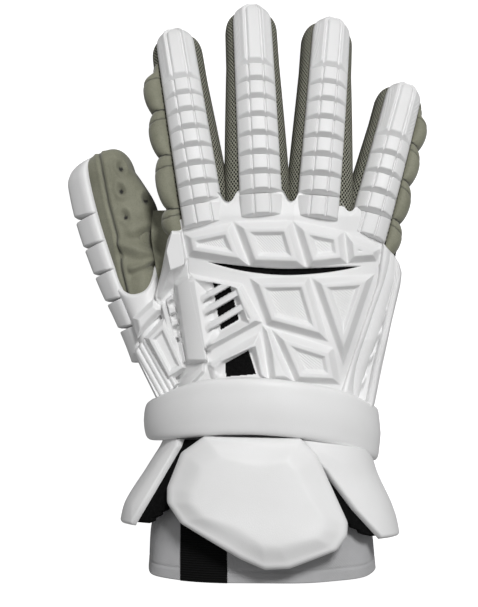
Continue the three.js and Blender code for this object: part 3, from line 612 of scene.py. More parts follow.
def white_leather():
    """Smooth white synthetic leather: fine pebble, faint soiling, and pressed lines where marked."""
    made = Finish("white_leather", tuple(colours().pad_white), 0.46, Specular_IOR_Level=0.4)
    lines = made.node("ShaderNodeTexWave", {
        "Vector": made.place, "Scale": 400.0, "Distortion": 0.0,
    }, wave_type="BANDS", bands_direction="DIAGONAL").outputs["Fac"]
    mark = made.mark()
    made.emboss(made.maths("MULTIPLY", lines, mark), 0.13)
    made.emboss(made.cells(1900.0), 0.035)
    made.emboss(made.noise(160.0, 4.0), 0.10, 0.35)
    made.tint(made.steps(made.noise(38.0, 4.0), 0.45, 0.8, 0.0, 0.35), (0.72, 0.72, 0.71))
    made.roughen(made.noise(90.0), 0.42, 0.54)
    return made.material


def olive_leather():
    """Brushed olive synthetic leather: mottled, with fine pores and a soft sheen; the mark paints shade into
    its seam grooves, creases and dents, and dark hole pricks.
    """
    made = Finish("olive_leather", tuple(colours().leather), 0.72, Sheen_Weight=0.25, Sheen_Roughness=0.5)
    made.tint(made.steps(made.noise(55.0, 6.0, 0.65), 0.35, 0.7), (0.18, 0.18, 0.128))
    made.tint(made.steps(made.cells(1500.0), 0.1, 0.55, 0.4, 0.0), (0.12, 0.12, 0.085))
    # Painted shade: the mark darkens the leather in its seam grooves, the side rolls' creases and the thumb's
    # dents, and at the thumb's hole pricks.
    made.tint(made.mark(), (0.006, 0.006, 0.005))
    made.emboss(made.cells(1300.0), 0.06)
    made.emboss(made.noise(420.0, 5.0), 0.08, 0.6)
    return made.material


def open_mesh():
    """Open knit: staggered holes painted black as the shade of the hollow behind them, between olive yarns,
    from the piece's own lengths.
    """
    made = Finish("open_mesh", tuple(colours().mesh), 0.85, Specular_IOR_Level=0.2)
    wobble = made.maths("MULTIPLY", made.noise(500.0, 2.0), 1.2)
    wave = made.maths("MULTIPLY", made.yarns(0, 2.1, wobble), made.yarns(1, 2.6, wobble))
    hole = made.steps(wave, 0.0, 0.2)
    made.tint(made.steps(made.noise(1400.0, 2.0), 0.4, 0.8), (0.20, 0.20, 0.15))
    # Painted shade: the wall is not cut, and the holes are painted black for the dark hollow seen through
    # them.
    made.tint(hole, (0.003, 0.003, 0.003))
    made.emboss(made.maths("SUBTRACT", 1.0, hole), 0.45)
    return made.material


def black_knit():
    """Black lining knit with fine stitches."""
    made = Finish("black_knit", tuple(colours().lining), 0.95, Specular_IOR_Level=0.08)
    made.tint(made.steps(made.noise(700.0, 3.0), 0.4, 0.8, 0.0, 0.7), (0.009, 0.009, 0.009))
    made.emboss(made.cells(1400.0), 0.2)
    return made.material


def grey_weave():
    """Pale grey woven cuff cloth with crossing yarns."""
    made = Finish("grey_weave", tuple(colours().cuff), 0.75, Sheen_Weight=0.15)
    made.emboss(made.maths("MULTIPLY", made.yarns(0, 0.9), made.yarns(1, 0.9)), 0.09)
    made.tint(made.steps(made.noise(60.0, 4.0), 0.4, 0.75, 0.0, 0.5), (0.36, 0.36, 0.36))
    return made.material


def ribbed_elastic():
    """Black ribbed elastic, its rib crests painted a little lighter as painted highlight."""
    made = Finish("ribbed_elastic", tuple(colours().lining), 0.9, Specular_IOR_Level=0.1)
    ribs = made.yarns(1, 1.3)
    made.emboss(ribs, 0.15)
    # Painted highlight: the rib crests are painted a little lighter than the hollows.
    made.tint(made.steps(ribs, 0.2, 1.0, 0.0, 0.6), (0.010, 0.010, 0.010))
    return made.material


FINISHES = {made.__name__: made for made in (
    white_leather, olive_leather, open_mesh, black_knit, grey_weave, ribbed_elastic,
)}


def finish_of(name):
    """The material of a name, made the first time it is asked for."""
    return bpy.data.materials.get(name) or FINISHES[name]()


def sizes():
    return bpy.context.scene.glove_sizes


def colours():
    return bpy.context.scene.glove_colours


def tile_rise():
    """How far the tiles stand over the skin of their pad, in millimetres."""
    return sizes().tile_rise / MM - SKIN


def digit_wall(d, along, turn, level, grow, under, joined=()):
    """A wall on a digit between two growths of its surface."""
    outer, inner = (digit_skin(d, along, turn, level, by) for by in (grow, under))
    return wall(outer, inner, joined=joined)


def make_finger_shell(name):
    """A finger's leather front and its open-mesh gusset.

    Both are the digit's squircle section carried along its bent centreline and turned round its tip; the
    front takes the levels under the seam and the gusset those above it.
    """
    d = DIGITS[name]
    along, turn = digit_rows(d)
    seam = level_of_height(d, SEAM_HEIGHT)
    slit = 0.012
    low = np.linspace(-np.pi / 2, seam - slit, 26)[None, :]
    ripple = 0.12 * np.sin(along * 0.55) * np.cos(low) ** 2
    pinch = -0.7 * smooth_step(seam - 0.16, seam - slit, low)
    # Painted shade: the leather darkens towards the seam, where it is pinched in to a groove.
    paint = smooth_step(seam - 0.07, seam - slit, low) + 0 * along
    part = digit_wall(d, along, turn, low, ripple + pinch, -WALL, joined=("left",))
    add_piece(name + "_front_leather", [part], name + "_front", ["olive_leather"], paint=paint)

    high = np.linspace(seam + slit, np.pi / 2, 30)[None, :]
    pinch = -0.7 * (1 - smooth_step(seam + slit, seam + 0.16, high))
    part = digit_wall(d, along, turn, high, pinch, -WALL, joined=("right",))
    uv = grid_uv((len(along), high.shape[1]), part[0])
    add_piece(name + "_gusset_mesh", [part], name + "_gusset", ["open_mesh"], uv=uv)


# Finger pads: rows after a block's start and before its end, half width of the middle facet, how far the
# sloping cuts of the tip cap and of a block reach, how level they start and the first block's share.
PAD_EASE = np.array([0, 0.15, 0.4, 0.8, 1.3, 1.8, 2.2, 2.5, 2.8, 3.2, 3.8, 4.8])
PAD_END = np.array([2.2, 1.4, 1.0, 0.75, 0.5, 0.25, 0.08])
PAD_FACET = 0.385
CAP_RAMP = 3.4
BLOCK_RAMP = 2.3
CUT_LEVEL = 0.2
FIRST_BLOCK = 1.25


def make_finger_pad(name):
    """A digit's segmented pad: rows along the digit, and across each row three facets and two sides.

    Each block starts at its wrist-facing end with a sloping cut, runs level and drops at its far end. Two
    thin grooves part the facets. The tip cap narrows round the tip; on a finger one U-shaped channel runs
    round its middle instead.
    """
    d, back = DIGITS[name], BACKS[name]
    finger = name != "thumb"
    cap_start = tip_start(d) + back["half"] - back["cap"]
    pitch = (cap_start - back["start"]) / (back["blocks"] - 1 + FIRST_BLOCK)
    starts = np.append(back["start"], cap_start - pitch * np.arange(back["blocks"] - 1, -1, -1))
    lengths = np.diff(starts)
    cells = [np.concatenate([PAD_EASE, [(PAD_EASE[-1] + n - PAD_END[0]) / 2], n - PAD_END]) for n in lengths]
    straight = np.concatenate([cell + s for cell, s in zip(cells, starts)])
    cap_rows = np.concatenate([PAD_EASE, np.linspace(PAD_EASE[-1], tip_start(d) - cap_start, 18)[1:]])
    cap_rows = cap_rows + cap_start
    turns = np.linspace(0, 1, 30)[1:] * np.pi / 2
    along = np.concatenate([straight, cap_rows, tip_start(d) + back["half"] * blunt(np.sin(turns))])[:, None]
    caps = len(cap_rows) + len(turns)
    wide = np.concatenate([np.ones(len(straight) + len(cap_rows)), blunt(np.cos(turns))])[:, None]
    behind = np.concatenate([*cells, along[len(straight):, 0] - cap_start])[:, None]
    ahead = np.concatenate([*(n - cell for cell, n in zip(cells, lengths)), np.full(caps, 9.0)])[:, None]
    cap = (np.arange(len(along)) >= len(straight))[:, None]

    t = np.concatenate([
        np.linspace(-1, -0.9, 5), np.linspace(-0.88, -PAD_FACET - 0.15, 8),
        np.linspace(-PAD_FACET - 0.12, -PAD_FACET + 0.12, 17),
        np.linspace(-PAD_FACET + 0.14, PAD_FACET - 0.14, 11),
        np.linspace(PAD_FACET - 0.12, PAD_FACET + 0.12, 17), np.linspace(PAD_FACET + 0.15, 0.88, 8),
        np.linspace(0.9, 1, 5),
    ])[None, :]
    w = back["half"] * wide * taper_at(d, along)
    side = w * t
    middle, spread = (1 + PAD_FACET) / 2, (1 - PAD_FACET) / 2
    third = np.where(np.abs(t) < PAD_FACET, t / PAD_FACET, (np.abs(t) - middle) / spread)
    slope = np.clip((np.abs(t) - PAD_FACET) / (1 - PAD_FACET), 0, 1)
    rise = back["rise"]
    top = digit_ceiling(d, 0 * t, along) + rise
    shoulder = digit_ceiling(d, w, along) + 0.5 * rise
    crest = top + (shoulder - top) * slope**1.15
    edge = back["half"] * taper_at(d, along) - tip_radius(side, np.maximum(0, along - tip_start(d)))
    hatched = smooth_step(3.4, 3.0, edge) * smooth_step(0.5, 1.2, edge) * smooth_step(3.0, 5.0, behind) * cap
    groove = 1.5 * bell(np.abs(t) - PAD_FACET, 0.044)
    if finger:
        ring = np.hypot(side, np.maximum(0, along - tip_start(d) - 4.4))
        ring = ring - PAD_FACET * back["half"] * taper_at(d, along)
        channel = 1.8 * bell(ring, 0.75) - 0.5 * bell(ring - 1.7, 0.9)
        crest = crest + np.where(cap, -channel, 0.55 * (1 - third**2) - groove)
    else:
        crest = crest + 0.5 * (1 - third**2) - groove
    # The wrist-facing end of each block is a sloping cut, which leaves an arched edge on each facet.
    foot = digit_ceiling(d, side, along) + 0.1 * rise
    cut = foot + CUT_LEVEL * (digit_ceiling(d, 0 * t, along) + 0.1 * rise - foot)
    cut = cut + 0.95 * rise * behind / np.where(cap, CAP_RAMP, BLOCK_RAMP)
    blend = np.clip(0.5 + 0.5 * (cut - crest) / 0.5, 0, 1)
    up = cut + (crest - cut) * blend - 0.5 * blend * (1 - blend)
    up = foot + (up - foot) * smooth_step(0.05, 0.8, ahead) * wide**0.7
    up = up - (1 - np.sqrt(np.clip(1 - np.clip((np.abs(t) - 0.9) / 0.1, 0, 1) ** 2, 0, 1))) * 1.1 * wide
    floor = digit_ceiling(d, side, along) + 0.3
    top_grid = on_digit(d, side, along + 0 * t, np.maximum(up, floor + 0.05))
    under = on_digit(d, side, along + 0 * t, floor)
    add_piece(name + "_pad", [wall(top_grid, under)], name + "_back", ["white_leather"],
              paint=hatched * finger)


def make_side_roll(name):
    """A padded roll down a digit's side: bulges between seams, each a sine across and along."""
    d, roll = DIGITS[name], SIDE_ROLLS[name]
    seam = level_of_height(d, SEAM_HEIGHT)
    edge = level_of_width(d, 0.77 * d["a"])
    ends = np.array([roll["start"], *roll["ends"]], float)
    behind = np.linspace(ends[0] - 4, ends[-1], 170)[:, None]
    along = d["length"] - behind
    turn = np.full_like(along, roll["side"] * np.pi / 2)
    level = np.linspace(seam + 0.02, edge, 34)[None, :]
    v = (level - level[0, 0]) / (edge - level[0, 0])
    # Seams lean a little, so that each bulge is a soft parallelogram.
    lean = behind + 2.2 * (v - 0.5) * roll["side"]
    k = np.clip(np.searchsorted(ends, lean.ravel()).reshape(lean.shape) - 1, 0, len(ends) - 2)
    share = np.clip((lean - ends[k]) / (ends[k + 1] - ends[k]), 0, 1)
    bulge = roll["base"] + roll["tall"] * np.sin(np.pi * share) ** 0.55
    crease_at = ends[k] + 0.2 * (ends[k + 1] - ends[k]) + 5.0 * (1 - v)
    crease = 0.8 * bell(lean - crease_at, 0.8) * smooth_step(0.25, 0.75, v)
    bulge = bulge - crease * (bulge > 1.2)
    tip = smooth_step(ends[0] - 4, ends[0] + 5, behind)
    grow = 0.6 + bulge * np.maximum(np.sin(np.pi * np.clip(v, 0, 1)), 0) ** 0.5 * tip
    # Painted shade: the leather darkens along the seams between bulges and in each bulge's crease.
    near_seam = np.minimum.reduce([np.abs(lean - e) for e in ends[1:-1]])
    crease_shade = smooth_step(0.5, 0.2, np.abs(lean - crease_at)) * (v > 0.5)
    paint = np.clip(smooth_step(0.55, 0.2, near_seam) + 0.7 * crease_shade, 0, 1)
    node = name + "_side_roll"
    add_piece(node + "_leather", [digit_wall(d, along, turn, level, grow, 0.3)], node, ["olive_leather"],
              paint=paint)


# The thumb's vent holes, its seam line, and its folds as two ends, a height and a width.
THUMB_HOLES = [(-66, 76.3), (-66, 63.5), (-51.8, 58.4), (-63.5, 48.9)]
THUMB_SEAM = [(-79.3, 87.5), (-77.3, 77.7), (-73.3, 57.2), (-68.2, 38.4), (-65.5, 18.3), (-62, 4)]
THUMB_FOLDS = [
    ((-66, 33), (-46, 27), 1.9, 2.8), ((-60, 19.3), (-45, 25), 1.7, 1.6), ((-60, 40), (-50, 44), 0.9, 2.2),
]


def make_thumb():
    """The thumb's leather stall: the digit's form with a seam line, dimpled vent holes and soft folds.

    The folds are ridges whose height falls off as a bell across them; each hole is a dark prick in a tilted
    oval dent, which is darkened as painted shade. Painted shade also darkens the seam's groove.
    """
    d = DIGITS["thumb"]
    along, turn = digit_rows(d, start=-16.0, steps=130, tip_steps=44)
    level = np.linspace(-np.pi / 2, np.pi / 2, 120)[None, :]
    x, y, _ = np.moveaxis(digit_skin(d, along, turn, level, 0.0), -1, 0)
    top = smooth_step(0.15, 0.4, np.sin(turn) * np.cos(level) ** (2 / ROUNDNESS))
    grow = 0 * x
    paint = 0 * x
    for hx, hy in THUMB_HOLES:
        u, v = (x - hx) * 0.92 + (y - hy) * 0.38, (y - hy) * 0.92 - (x - hx) * 0.38
        r = np.hypot(u / 2.2, v / 3.3)
        grow = grow - 1.6 * np.exp(-(r**2) * 1.4) + 0.6 * bell(r - 1.4, 0.4)
        prick = smooth_step(1.5, 1.0, np.hypot(u, v + 0.9))
        # The dent round each hole is darkened as painted shade.
        paint = np.maximum.reduce([paint, prick, 0.3 * np.exp(-(r**2) * 1.2)])
    seam = path_distance(x, y, THUMB_SEAM)
    grow = grow - 1.0 * bell(seam, 0.9) + 0.4 * bell(seam - 2.2, 1.1)
    # Painted shade darkens the seam's groove.
    paint = np.maximum(paint, 0.7 * smooth_step(0.75, 0.3, seam))
    for (x0, y0), (x1, y1), tall, wide in THUMB_FOLDS:
        ridge = path_distance(x, y, [(x0, y0), (x1, y1)])
        below = path_distance(x, y, [(x0, y0 - 2.2 * wide), (x1, y1 - 2.2 * wide)])
        grow = grow + tall * bell(ridge, wide) - 0.7 * tall * bell(below, wide)
    grow = (grow - 2.0 * bell(np.hypot((x + 50) / 7, (y - 36) / 8), 1)) * top
    part = digit_wall(d, along, turn, level, grow, -WALL, joined=("left", "right"))
    add_piece("thumb_stall_leather", [part], "thumb_stall", ["olive_leather"], paint=paint * top,
              extra=("thumb_side",))


def hand_levels(y, sign):
    """Angles round the hand's section from its seam on one side to its seam on the other."""
    _, _, top, mid, low = section(HAND, y)
    dip = np.arcsin((2 / (mid - low)) ** (ROUNDNESS / 2))
    slit = 0.006
    t = np.linspace(0, 1, 150)[None, :]
    if sign > 0:
        return -dip + slit + (np.pi + 2 * dip - 2 * slit) * t
    return np.pi + dip - slit + (np.pi - 2 * dip - 2 * slit) * t


# The web of leather in the thumb's crotch: along y, its edge on the stall and its edge on the hand.
WEB = np.array([
    (-8, -41, 41, -33, 45), (8, -44, 40, -36, 46), (24, -47, 38, -37.5, 46), (40, -49, 36, -38, 44),
    (52, -48, 33, -38, 40),
])


def thumb_web():
    """A sagging sheet from the thumb stall to the side of the hand: height falls midway as a sine."""
    y = np.linspace(WEB[0, 0], WEB[-1, 0], 60)[:, None]
    x0, z0, x1, z1 = (curve_through(y, WEB[:, 0], WEB[:, k]) for k in (1, 2, 3, 4))
    t = np.linspace(0, 1, 24)[None, :]
    z = z0 + (z1 - z0) * t - 2.5 * np.sin(np.pi * t) + 0.5 * np.sin(y * 0.5 + 5 * t)
    outer = np.stack(np.broadcast_arrays(x0 + (x1 - x0) * t, y, z), -1)
    return wall(outer, outer - np.array([0, 0, WALL]))


def make_hand(name, node, material, sign):
    """Half of the hand's wall, above or below its side seam, closed at the knuckles round the fingers.

    Rows of the hand's squircle section run from the wrist to the knuckles, then fold in to the seam's
    height to close the end; cells within a finger's hollow are left out.
    """
    y = np.concatenate([np.linspace(HAND_START, KNUCKLE_END, 130), np.full(24, KNUCKLE_END)])[:, None]
    keep_height = np.concatenate([np.ones(130), np.linspace(1, 0, 25)[1:]])[:, None]

    def skin_at(grow, back):
        at = np.minimum(y, KNUCKLE_END - back)
        angle = hand_levels(at, sign)
        centre, half, top, mid, low = section(HAND, at)
        tall = np.where(np.sin(angle) > 0, top - mid, mid - low)
        u, v = squircle(angle, half + grow, tall + grow)
        v = -2 + (v + 2) * keep_height
        return np.stack(np.broadcast_arrays(*knuckle_bend(centre + u, at + 0 * u, mid + v)), -1)

    outer, inner = skin_at(0.0, 0.0), skin_at(-WALL, WALL)
    middle = (outer[:-1, :-1] + outer[1:, 1:]) / 2
    hole = np.zeros(middle.shape[:2], bool)
    for finger in FINGERS:
        hole |= in_digit(DIGITS[finger], middle, -WALL)
    hole[:100] = False
    parts = [wall(outer, inner, keep=~hole)]
    if sign < 0:
        parts.append(thumb_web())
    add_piece(name, parts, node, [material])


def hand_patch(bottom, top, columns, rows, relief, edge):
    """A plan patch of the hand's back: its top stands a skin and a relief over it, its foot just clear.

    bottom and top are curves of y over the columns' x. The border is eased down by a quarter round.
    """
    x = columns[None, :] + 0 * rows[:, None]
    y = bottom(columns)[None, :] + (top(columns) - bottom(columns))[None, :] * rows[:, None]
    base = hand_height(x, y)
    rim = np.minimum(np.minimum(rows, 1 - rows)[:, None] * (top(columns) - bottom(columns))[None, :],
                     np.minimum(columns - columns[0], columns[-1] - columns)[None, :])
    height = 0.5 + (SKIN + 0.3 + relief(x, y) - 0.5) * round_over(rim, edge)
    outer = np.stack([x, y, base + height], -1)
    inner = np.stack([x, y, base + np.minimum(0.3, height - 0.15)], -1)
    return outer, inner


# Upper edge of the knuckle pad: it dips round the mesh between the fingers.
CROTCH = dict(
    x=(-31, -24, -14, -10.5, -8.4, -5.9, -3.4, -1.2, 3, 12, 21, 24.8, 26.6, 28.8, 31, 32.8, 37, 45, 53, 56.6,
       58.6, 60.7, 62.6, 64, 68, 76, 79.5),
    y=(44.5, 50, 60, 60.5, 57.2, 55.6, 57.2, 61, 62, 60, 62, 61, 57.4, 55.8, 57.4, 61, 61, 58, 56, 55,
       52, 50.6, 51.4, 53, 50, 41, 33),
)


def slot_edge(x, side):
    """One edge of the flex slot: a lens round its middle line, the edges crossing past its ends."""
    (start, *_, end), (start_y, *_, end_y) = SLOT["x"], SLOT["y"]
    t = np.clip((x - start) / (end - start), 0, 1)
    middle = np.where(x < start, start_y - 0.2 * (x - start), curve_through(x, SLOT["x"], SLOT["y"]))
    middle = np.where(x > end, end_y + 0.15 * (x - end), middle)
    return middle + side * (SLOT["lens"] * np.sqrt(np.maximum(4 * t * (1 - t), 0)) - SLOT["cross"])


def roll_line(x):
    """Middle of the wrist roll over a plan x."""
    across = (x - 15) / ROLL["span"]
    ends = ROLL["droop"] * (np.maximum(0, across - 0.5) ** 2 + 0.35 * np.maximum(0, -across - 0.4) ** 2)
    return ROLL["y"] + ROLL["bow"] * across**2 + ROLL["lean"] * across - ends


def make_knuckle_pad():
    """The knuckle pad: four tiles on a skin that reaches up between the fingers, below it the flex slot.

    Height is the hand's own plus a skin, plus for each tile a ramp, a level rim and a sunk floor by the
    distance inside its outline.
    """
    rise = tile_rise()

    def relief(x, y):
        tall = np.zeros(np.shape(x))
        for tile in KNUCKLE_TILES:
            tall = np.maximum(tall, tile_height(x, y, rise, tile["corners"], slope=3.6, rim=2.2, sink=2.5))
        crotch = curve_through(x, CROTCH["x"], CROTCH["y"])
        return tall - 2.6 * smooth_step(47, 58, y) - 0.8 * smooth_step(3, 0, crotch - y)

    columns = np.linspace(-31, 79.5, 300)
    outer, inner = hand_patch(lambda x: slot_edge(x, 1), lambda x: curve_through(x, CROTCH["x"], CROTCH["y"]),
                              columns, np.linspace(0, 1, 96), relief, edge=0.9)
    paint = np.zeros(outer.shape[:2])
    for tile in KNUCKLE_TILES:
        paint = np.maximum(paint, sunk_mark(outer[..., 0], outer[..., 1], tile["corners"], slope=3.6))
    add_piece("knuckle_pad_tiles", [wall(outer, inner)], "knuckle_pad", ["white_leather"],
              paint=paint)


def make_back_pad():
    """The pad over the back of the hand: six tiles, one of them a vent with three bars, and a window.

    Vent and window are funnels whose height falls evenly from the crest outline to the floor outline.
    Their floors are faces of this pad in the black knit of the lining.
    """
    rise = tile_rise()

    def relief(x, y):
        tall = np.zeros(np.shape(x))
        for tile in BACK_TILES:
            shape = {key: tile[key] for key in ("sink", "slope", "rim") if key in tile}
            tall = np.maximum(tall, tile_height(x, y, rise, tile["corners"], **shape))
        return np.maximum(tall, rise * bevel(inside(x, y, VENT["ridge"]), 1.2, 0.2))

    def barred(x, y):
        bars = np.zeros(np.shape(x))
        for start, end in VENT["bars"]:
            bars = np.maximum(bars, smooth_step(0, 0.5, along_bar(x, y, start, end, VENT["width"] / 2)))
        return bars

    def falls(x, y):
        venting = inside(x, y, VENT["crest"]) > 0
        vent = between_outlines(x, y, VENT["crest"], VENT["floor"]) * venting
        return venting, vent, between_outlines(x, y, WINDOW["crest"], WINDOW["floor"])

    def carve(x, y):
        venting, vent, window = falls(x, y)
        tall = np.where(venting, rise, relief(x, y))
        fall = np.maximum(vent, window)
        sunk = tall * (1 - fall) - (SKIN - 0.25) * fall
        return np.maximum(sunk, (rise - 1.1) * barred(x, y) * venting)

    def low(x):
        sides = np.interp(x, (-28.4, -15, 54, 66, 77.4), (16, -44, -56, -20, 13.6))
        return np.maximum(sides, roll_line(x) + 12.5)

    columns = np.linspace(-28.4, 77.4, 268)
    outer, inner = hand_patch(low, lambda x: slot_edge(x, -1), columns, np.linspace(0, 1, 168), carve,
                              edge=0.7)
    x, y = outer[..., 0], outer[..., 1]
    paint = np.zeros(outer.shape[:2])
    for tile in BACK_TILES[1:]:
        if tile.get("sink", 1):
            paint = np.maximum(paint, sunk_mark(x, y, tile["corners"]))

    def finish(x, y, z):
        _, vent, window = falls(x, y)
        return (np.maximum(vent * (1 - barred(x, y)), window) > 0.97) & (z > 20)

    add_piece("back_pad_tiles", [wall(outer, inner)], "back_pad",
              ["white_leather", "black_knit"], paint=paint, finish=finish)


# The index side: outlines of its bar, block and strip, its ladder, and the edges of the whole pad as y and
# two x. The outer rail has such edges too.
SIDE_BAR = [(-24.2, 18.6), (-15.4, -32.4), (-29.4, -32.6), (-35.9, 10.8)]
SIDE_TOP = dict(
    foot=[(-31.6, 40.6), (-27.6, 19), (-35.2, 10.2), (-40.6, -1.6), (-45.2, 3.4), (-42, 31), (-38, 41)],
    crest=[(-32.2, 38.6), (-29.6, 21.2), (-37.4, 18.4), (-39.6, 28.4), (-36.6, 39.2)],
)
LADDER = dict(
    rail=[(-41.4, -1.6), (-38, -14), (-33.2, -35.5)],
    band=[(-40.4, 2), (-36.4, 6), (-28.8, -32), (-33, -35.5)],
    notches=[(-36.4, 0), (-35.2, -7), (-33.9, -13.6), (-32.6, -20.2)],
)
SIDE_STRIP = [(-40, -49), (-33, -42), (-18.5, -30.6), (-18.5, -37.5), (-30, -50)]
SIDE_EDGES = np.array([
    (-52, -40, -12.2), (-46, -40, -13.6), (-40, -38, -14.9), (-30, -37.4, -17.1), (-14, -40.4, -20.6),
    (-1.6, -45.2, -23.4), (4, -46.6, -24.6), (16, -43.3, -27.2), (20, -42.4, -27.6), (28, -40.9, -28.4),
    (35, -39.5, -29.6), (42, -36.5, -30.2), (46.5, -33.5, -30.8),
])
RAIL_EDGES = np.array([
    (-61, 52, 73), (-55, 53.6, 75.2), (-41, 58.4, 78.0), (-20, 65.4, 82.4), (-11.5, 68.2, 84.2),
    (10, 75.6, 89.4), (17, 76.8, 90.2), (22, 77.4, 88.8), (27, 78.2, 85.8), (31, 78.6, 81.6),
    (33.5, 78.9, 79.6),
])


def side_field(edges, rows, columns, relief, skirt=9.0):
    """A plan field over the hand's side: rows of y between two edges, standing on the hand's own height.

    Past the hand's side it is carried level, and its underside drops there, so that it has a thick side.
    """
    y = np.linspace(edges[0, 0], edges[-1, 0], rows)[:, None]
    left = np.interp(y, edges[:, 0], edges[:, 1])
    right = np.interp(y, edges[:, 0], edges[:, 2])
    x = left + (right - left) * np.linspace(0, 1, columns)[None, :]
    y = y + 0 * x
    centre, half = section(HAND, np.clip(y, HAND_START, KNUCKLE_END))[:2]
    past = smooth_step(0.88, 1.0, np.abs(x - centre) / half)
    base = hand_height(x, y)
    rim = np.minimum.reduce([x - left, right - x, y - edges[0, 0] + 2, edges[-1, 0] - y])
    top = base + 0.4 + (SKIN - 0.1 + relief(x, y)) * round_over(rim, 1.1)
    return wall(np.stack([x, y, top], -1), np.stack([x, y, base + 0.3 - skirt * past], -1))


def make_index_side():
    """The pad down the index side: a faceted block, a long smooth bar and a notched ladder beside it.

    The block's height falls evenly from its crest outline to its foot outline; the bar is a bevelled
    strip; the ladder is a ridge with scallops bitten out of a band beside it.
    """
    rise = tile_rise()

    def relief(x, y):
        tall = rise * bevel(inside(x, y, SIDE_BAR), 1.7, 0.15)
        # The block stands up past the hand's side, so that its crest is level there.
        crest = hand_height(-31.0, 30.0) + 1.1 * rise - hand_height(x, y)
        tall = np.maximum(tall, crest * between_outlines(x, y, SIDE_TOP["foot"], SIDE_TOP["crest"]))
        rail = path_distance(x, y, LADDER["rail"])
        tall = np.maximum(tall, 0.9 * rise * smooth_step(2.0, 0.9, rail))
        rung = 0.75 * rise * smooth_step(0, 0.8, inside(x, y, LADDER["band"]))
        tall = np.maximum(tall, 0.85 * rise * bevel(inside(x, y, SIDE_STRIP), 1.6, 0.2))
        for nx, ny in LADDER["notches"]:
            rung = rung * (1 - smooth_step(1.0, 0.6, np.hypot((x - nx) / 3.2, (y - ny) / 2.1)))
        return np.maximum(tall, rung)

    add_piece("index_side_pad", [side_field(SIDE_EDGES, 190, 120, relief)], "index_side_block",
              ["white_leather"])


# Corners of the three pads beside the web on the thumb's base.
THUMB_BLOCK = [(-53, -19), (-40.8, -6.5), (-27.2, -36), (-39.6, -43.6)]
THUMB_FOOT = [(-58.5, -27.2), (-52, -18), (-33, -44), (-43.5, -57)]
THUMB_LIMB = [(-58.8, -8), (-47.4, 2.6), (-40.6, -3.2), (-56, -19.4)]


def make_thumb_base():
    """The pad over the thumb's base: a smooth web on the stall, and a sunk block, a ridged foot and a limb.

    The web is a shell on the stall whose far edge is a parabola. Block, foot and limb are plan fields over
    four corners: a tile, a bevelled slab less ridges as a cosine across it, and a plain bevelled slab.
    """
    d = DIGITS["thumb"]
    level = np.linspace(-1.25, 0.85, 46)[None, :]
    lip = 30.5 + 9 * np.clip(-level, 0, 2) ** 2 + 11 * np.clip(level, 0, 2) ** 2
    share = np.linspace(0, 1, 70)[:, None]
    along = -9 + (lip + 9) * share
    turn = np.full_like(along, np.pi / 2)
    thick = 0.4 + 1.9 * np.sqrt(np.clip(1 - np.clip((share - 0.93) / 0.07, 0, 1) ** 2, 0, 1))
    web = digit_wall(d, along, turn, level, thick, 0.3)
    block = corner_field(THUMB_BLOCK, 51.5, 9.0, lambda x, y: 0.2 * (x + 42) + tile_height(
        x, y, 6.0, THUMB_BLOCK, slope=2.6, rim=1.8, inner=1.4, sink=2.4))

    def across(x, y):
        return 0.87 * (x + 52) + 0.49 * (y + 18)

    foot = corner_field(THUMB_FOOT, 48.5, 10.0, lambda x, y: 0.35 * (x + 50) + 3.4 * bevel(
        inside(x, y, THUMB_FOOT), 1.0, 0.3) - 0.9 * (0.5 + 0.5 * np.cos(2 * np.pi * across(x, y) / 3.1)) ** 2)
    limb = corner_field(THUMB_LIMB, 50.5, 9.0, lambda x, y: 0.1 * (x + 48) + 4.6 * bevel(
        inside(x, y, THUMB_LIMB), 2.8, 0.6))
    add_piece("thumb_base_pads", [web, block, foot, limb], "thumb_base_pad",
              ["white_leather"])


def corner_field(corners, base, depth, relief):
    """A plan field over four corners, its height a base and a relief, with straight sides below it."""
    a, b, c, e = np.array(corners, float)
    v = np.linspace(0, 1, 90)[:, None, None]
    u = np.linspace(0, 1, 70)[None, :, None]
    plan = (a * (1 - u) + b * u) * (1 - v) + (e * (1 - u) + c * u) * v
    x, y = plan[..., 0], plan[..., 1]
    top = base + relief(x, y)
    low = np.minimum(base - depth + 0.35 * (x - x.mean()), top - 1)
    return wall(np.stack([x, y, top], -1), np.stack([x, y, low], -1))


RAIL = dict(
    band=[(78.6, 31), (80.8, 24), (80.2, 14), (72.3, -12), (63.7, -36), (56.8, -62)],
    rib=[(80.6, 33), (87, 24), (87.6, 15), (81.6, -12), (75.8, -36), (71, -62)],
)


def make_outer_rail():
    """The pad down the outer edge: a smooth convex band and a thin rib beside it, with scallops between."""
    rise = tile_rise()

    def relief(x, y):
        main = path_distance(x, y, RAIL["band"])
        tall = 1.1 * rise * np.sqrt(np.clip(1 - (main / 6.4) ** 2.6, 0, 1))
        tall = tall * smooth_step(-1.2, 3.6, x - np.interp(y, RAIL_EDGES[:, 0], RAIL_EDGES[:, 1])) ** 0.5
        side = path_distance(x, y, RAIL["rib"])
        outer = 0.8 * rise * np.sqrt(np.clip(1 - (side / 2.4) ** 2, 0, 1)) - 0.7 * bell(side, 0.6)
        nick = 0.5 + 0.5 * np.cos(2 * np.pi * (y + 3) / 13.5)
        bridge = 0.55 * rise * smooth_step(8.2, 6.6, main) * nick**2
        return np.maximum(np.maximum(tall, outer), bridge)

    add_piece("outer_rail_pad", [side_field(RAIL_EDGES, 280, 140, relief)], "outer_rail",
              ["white_leather"])


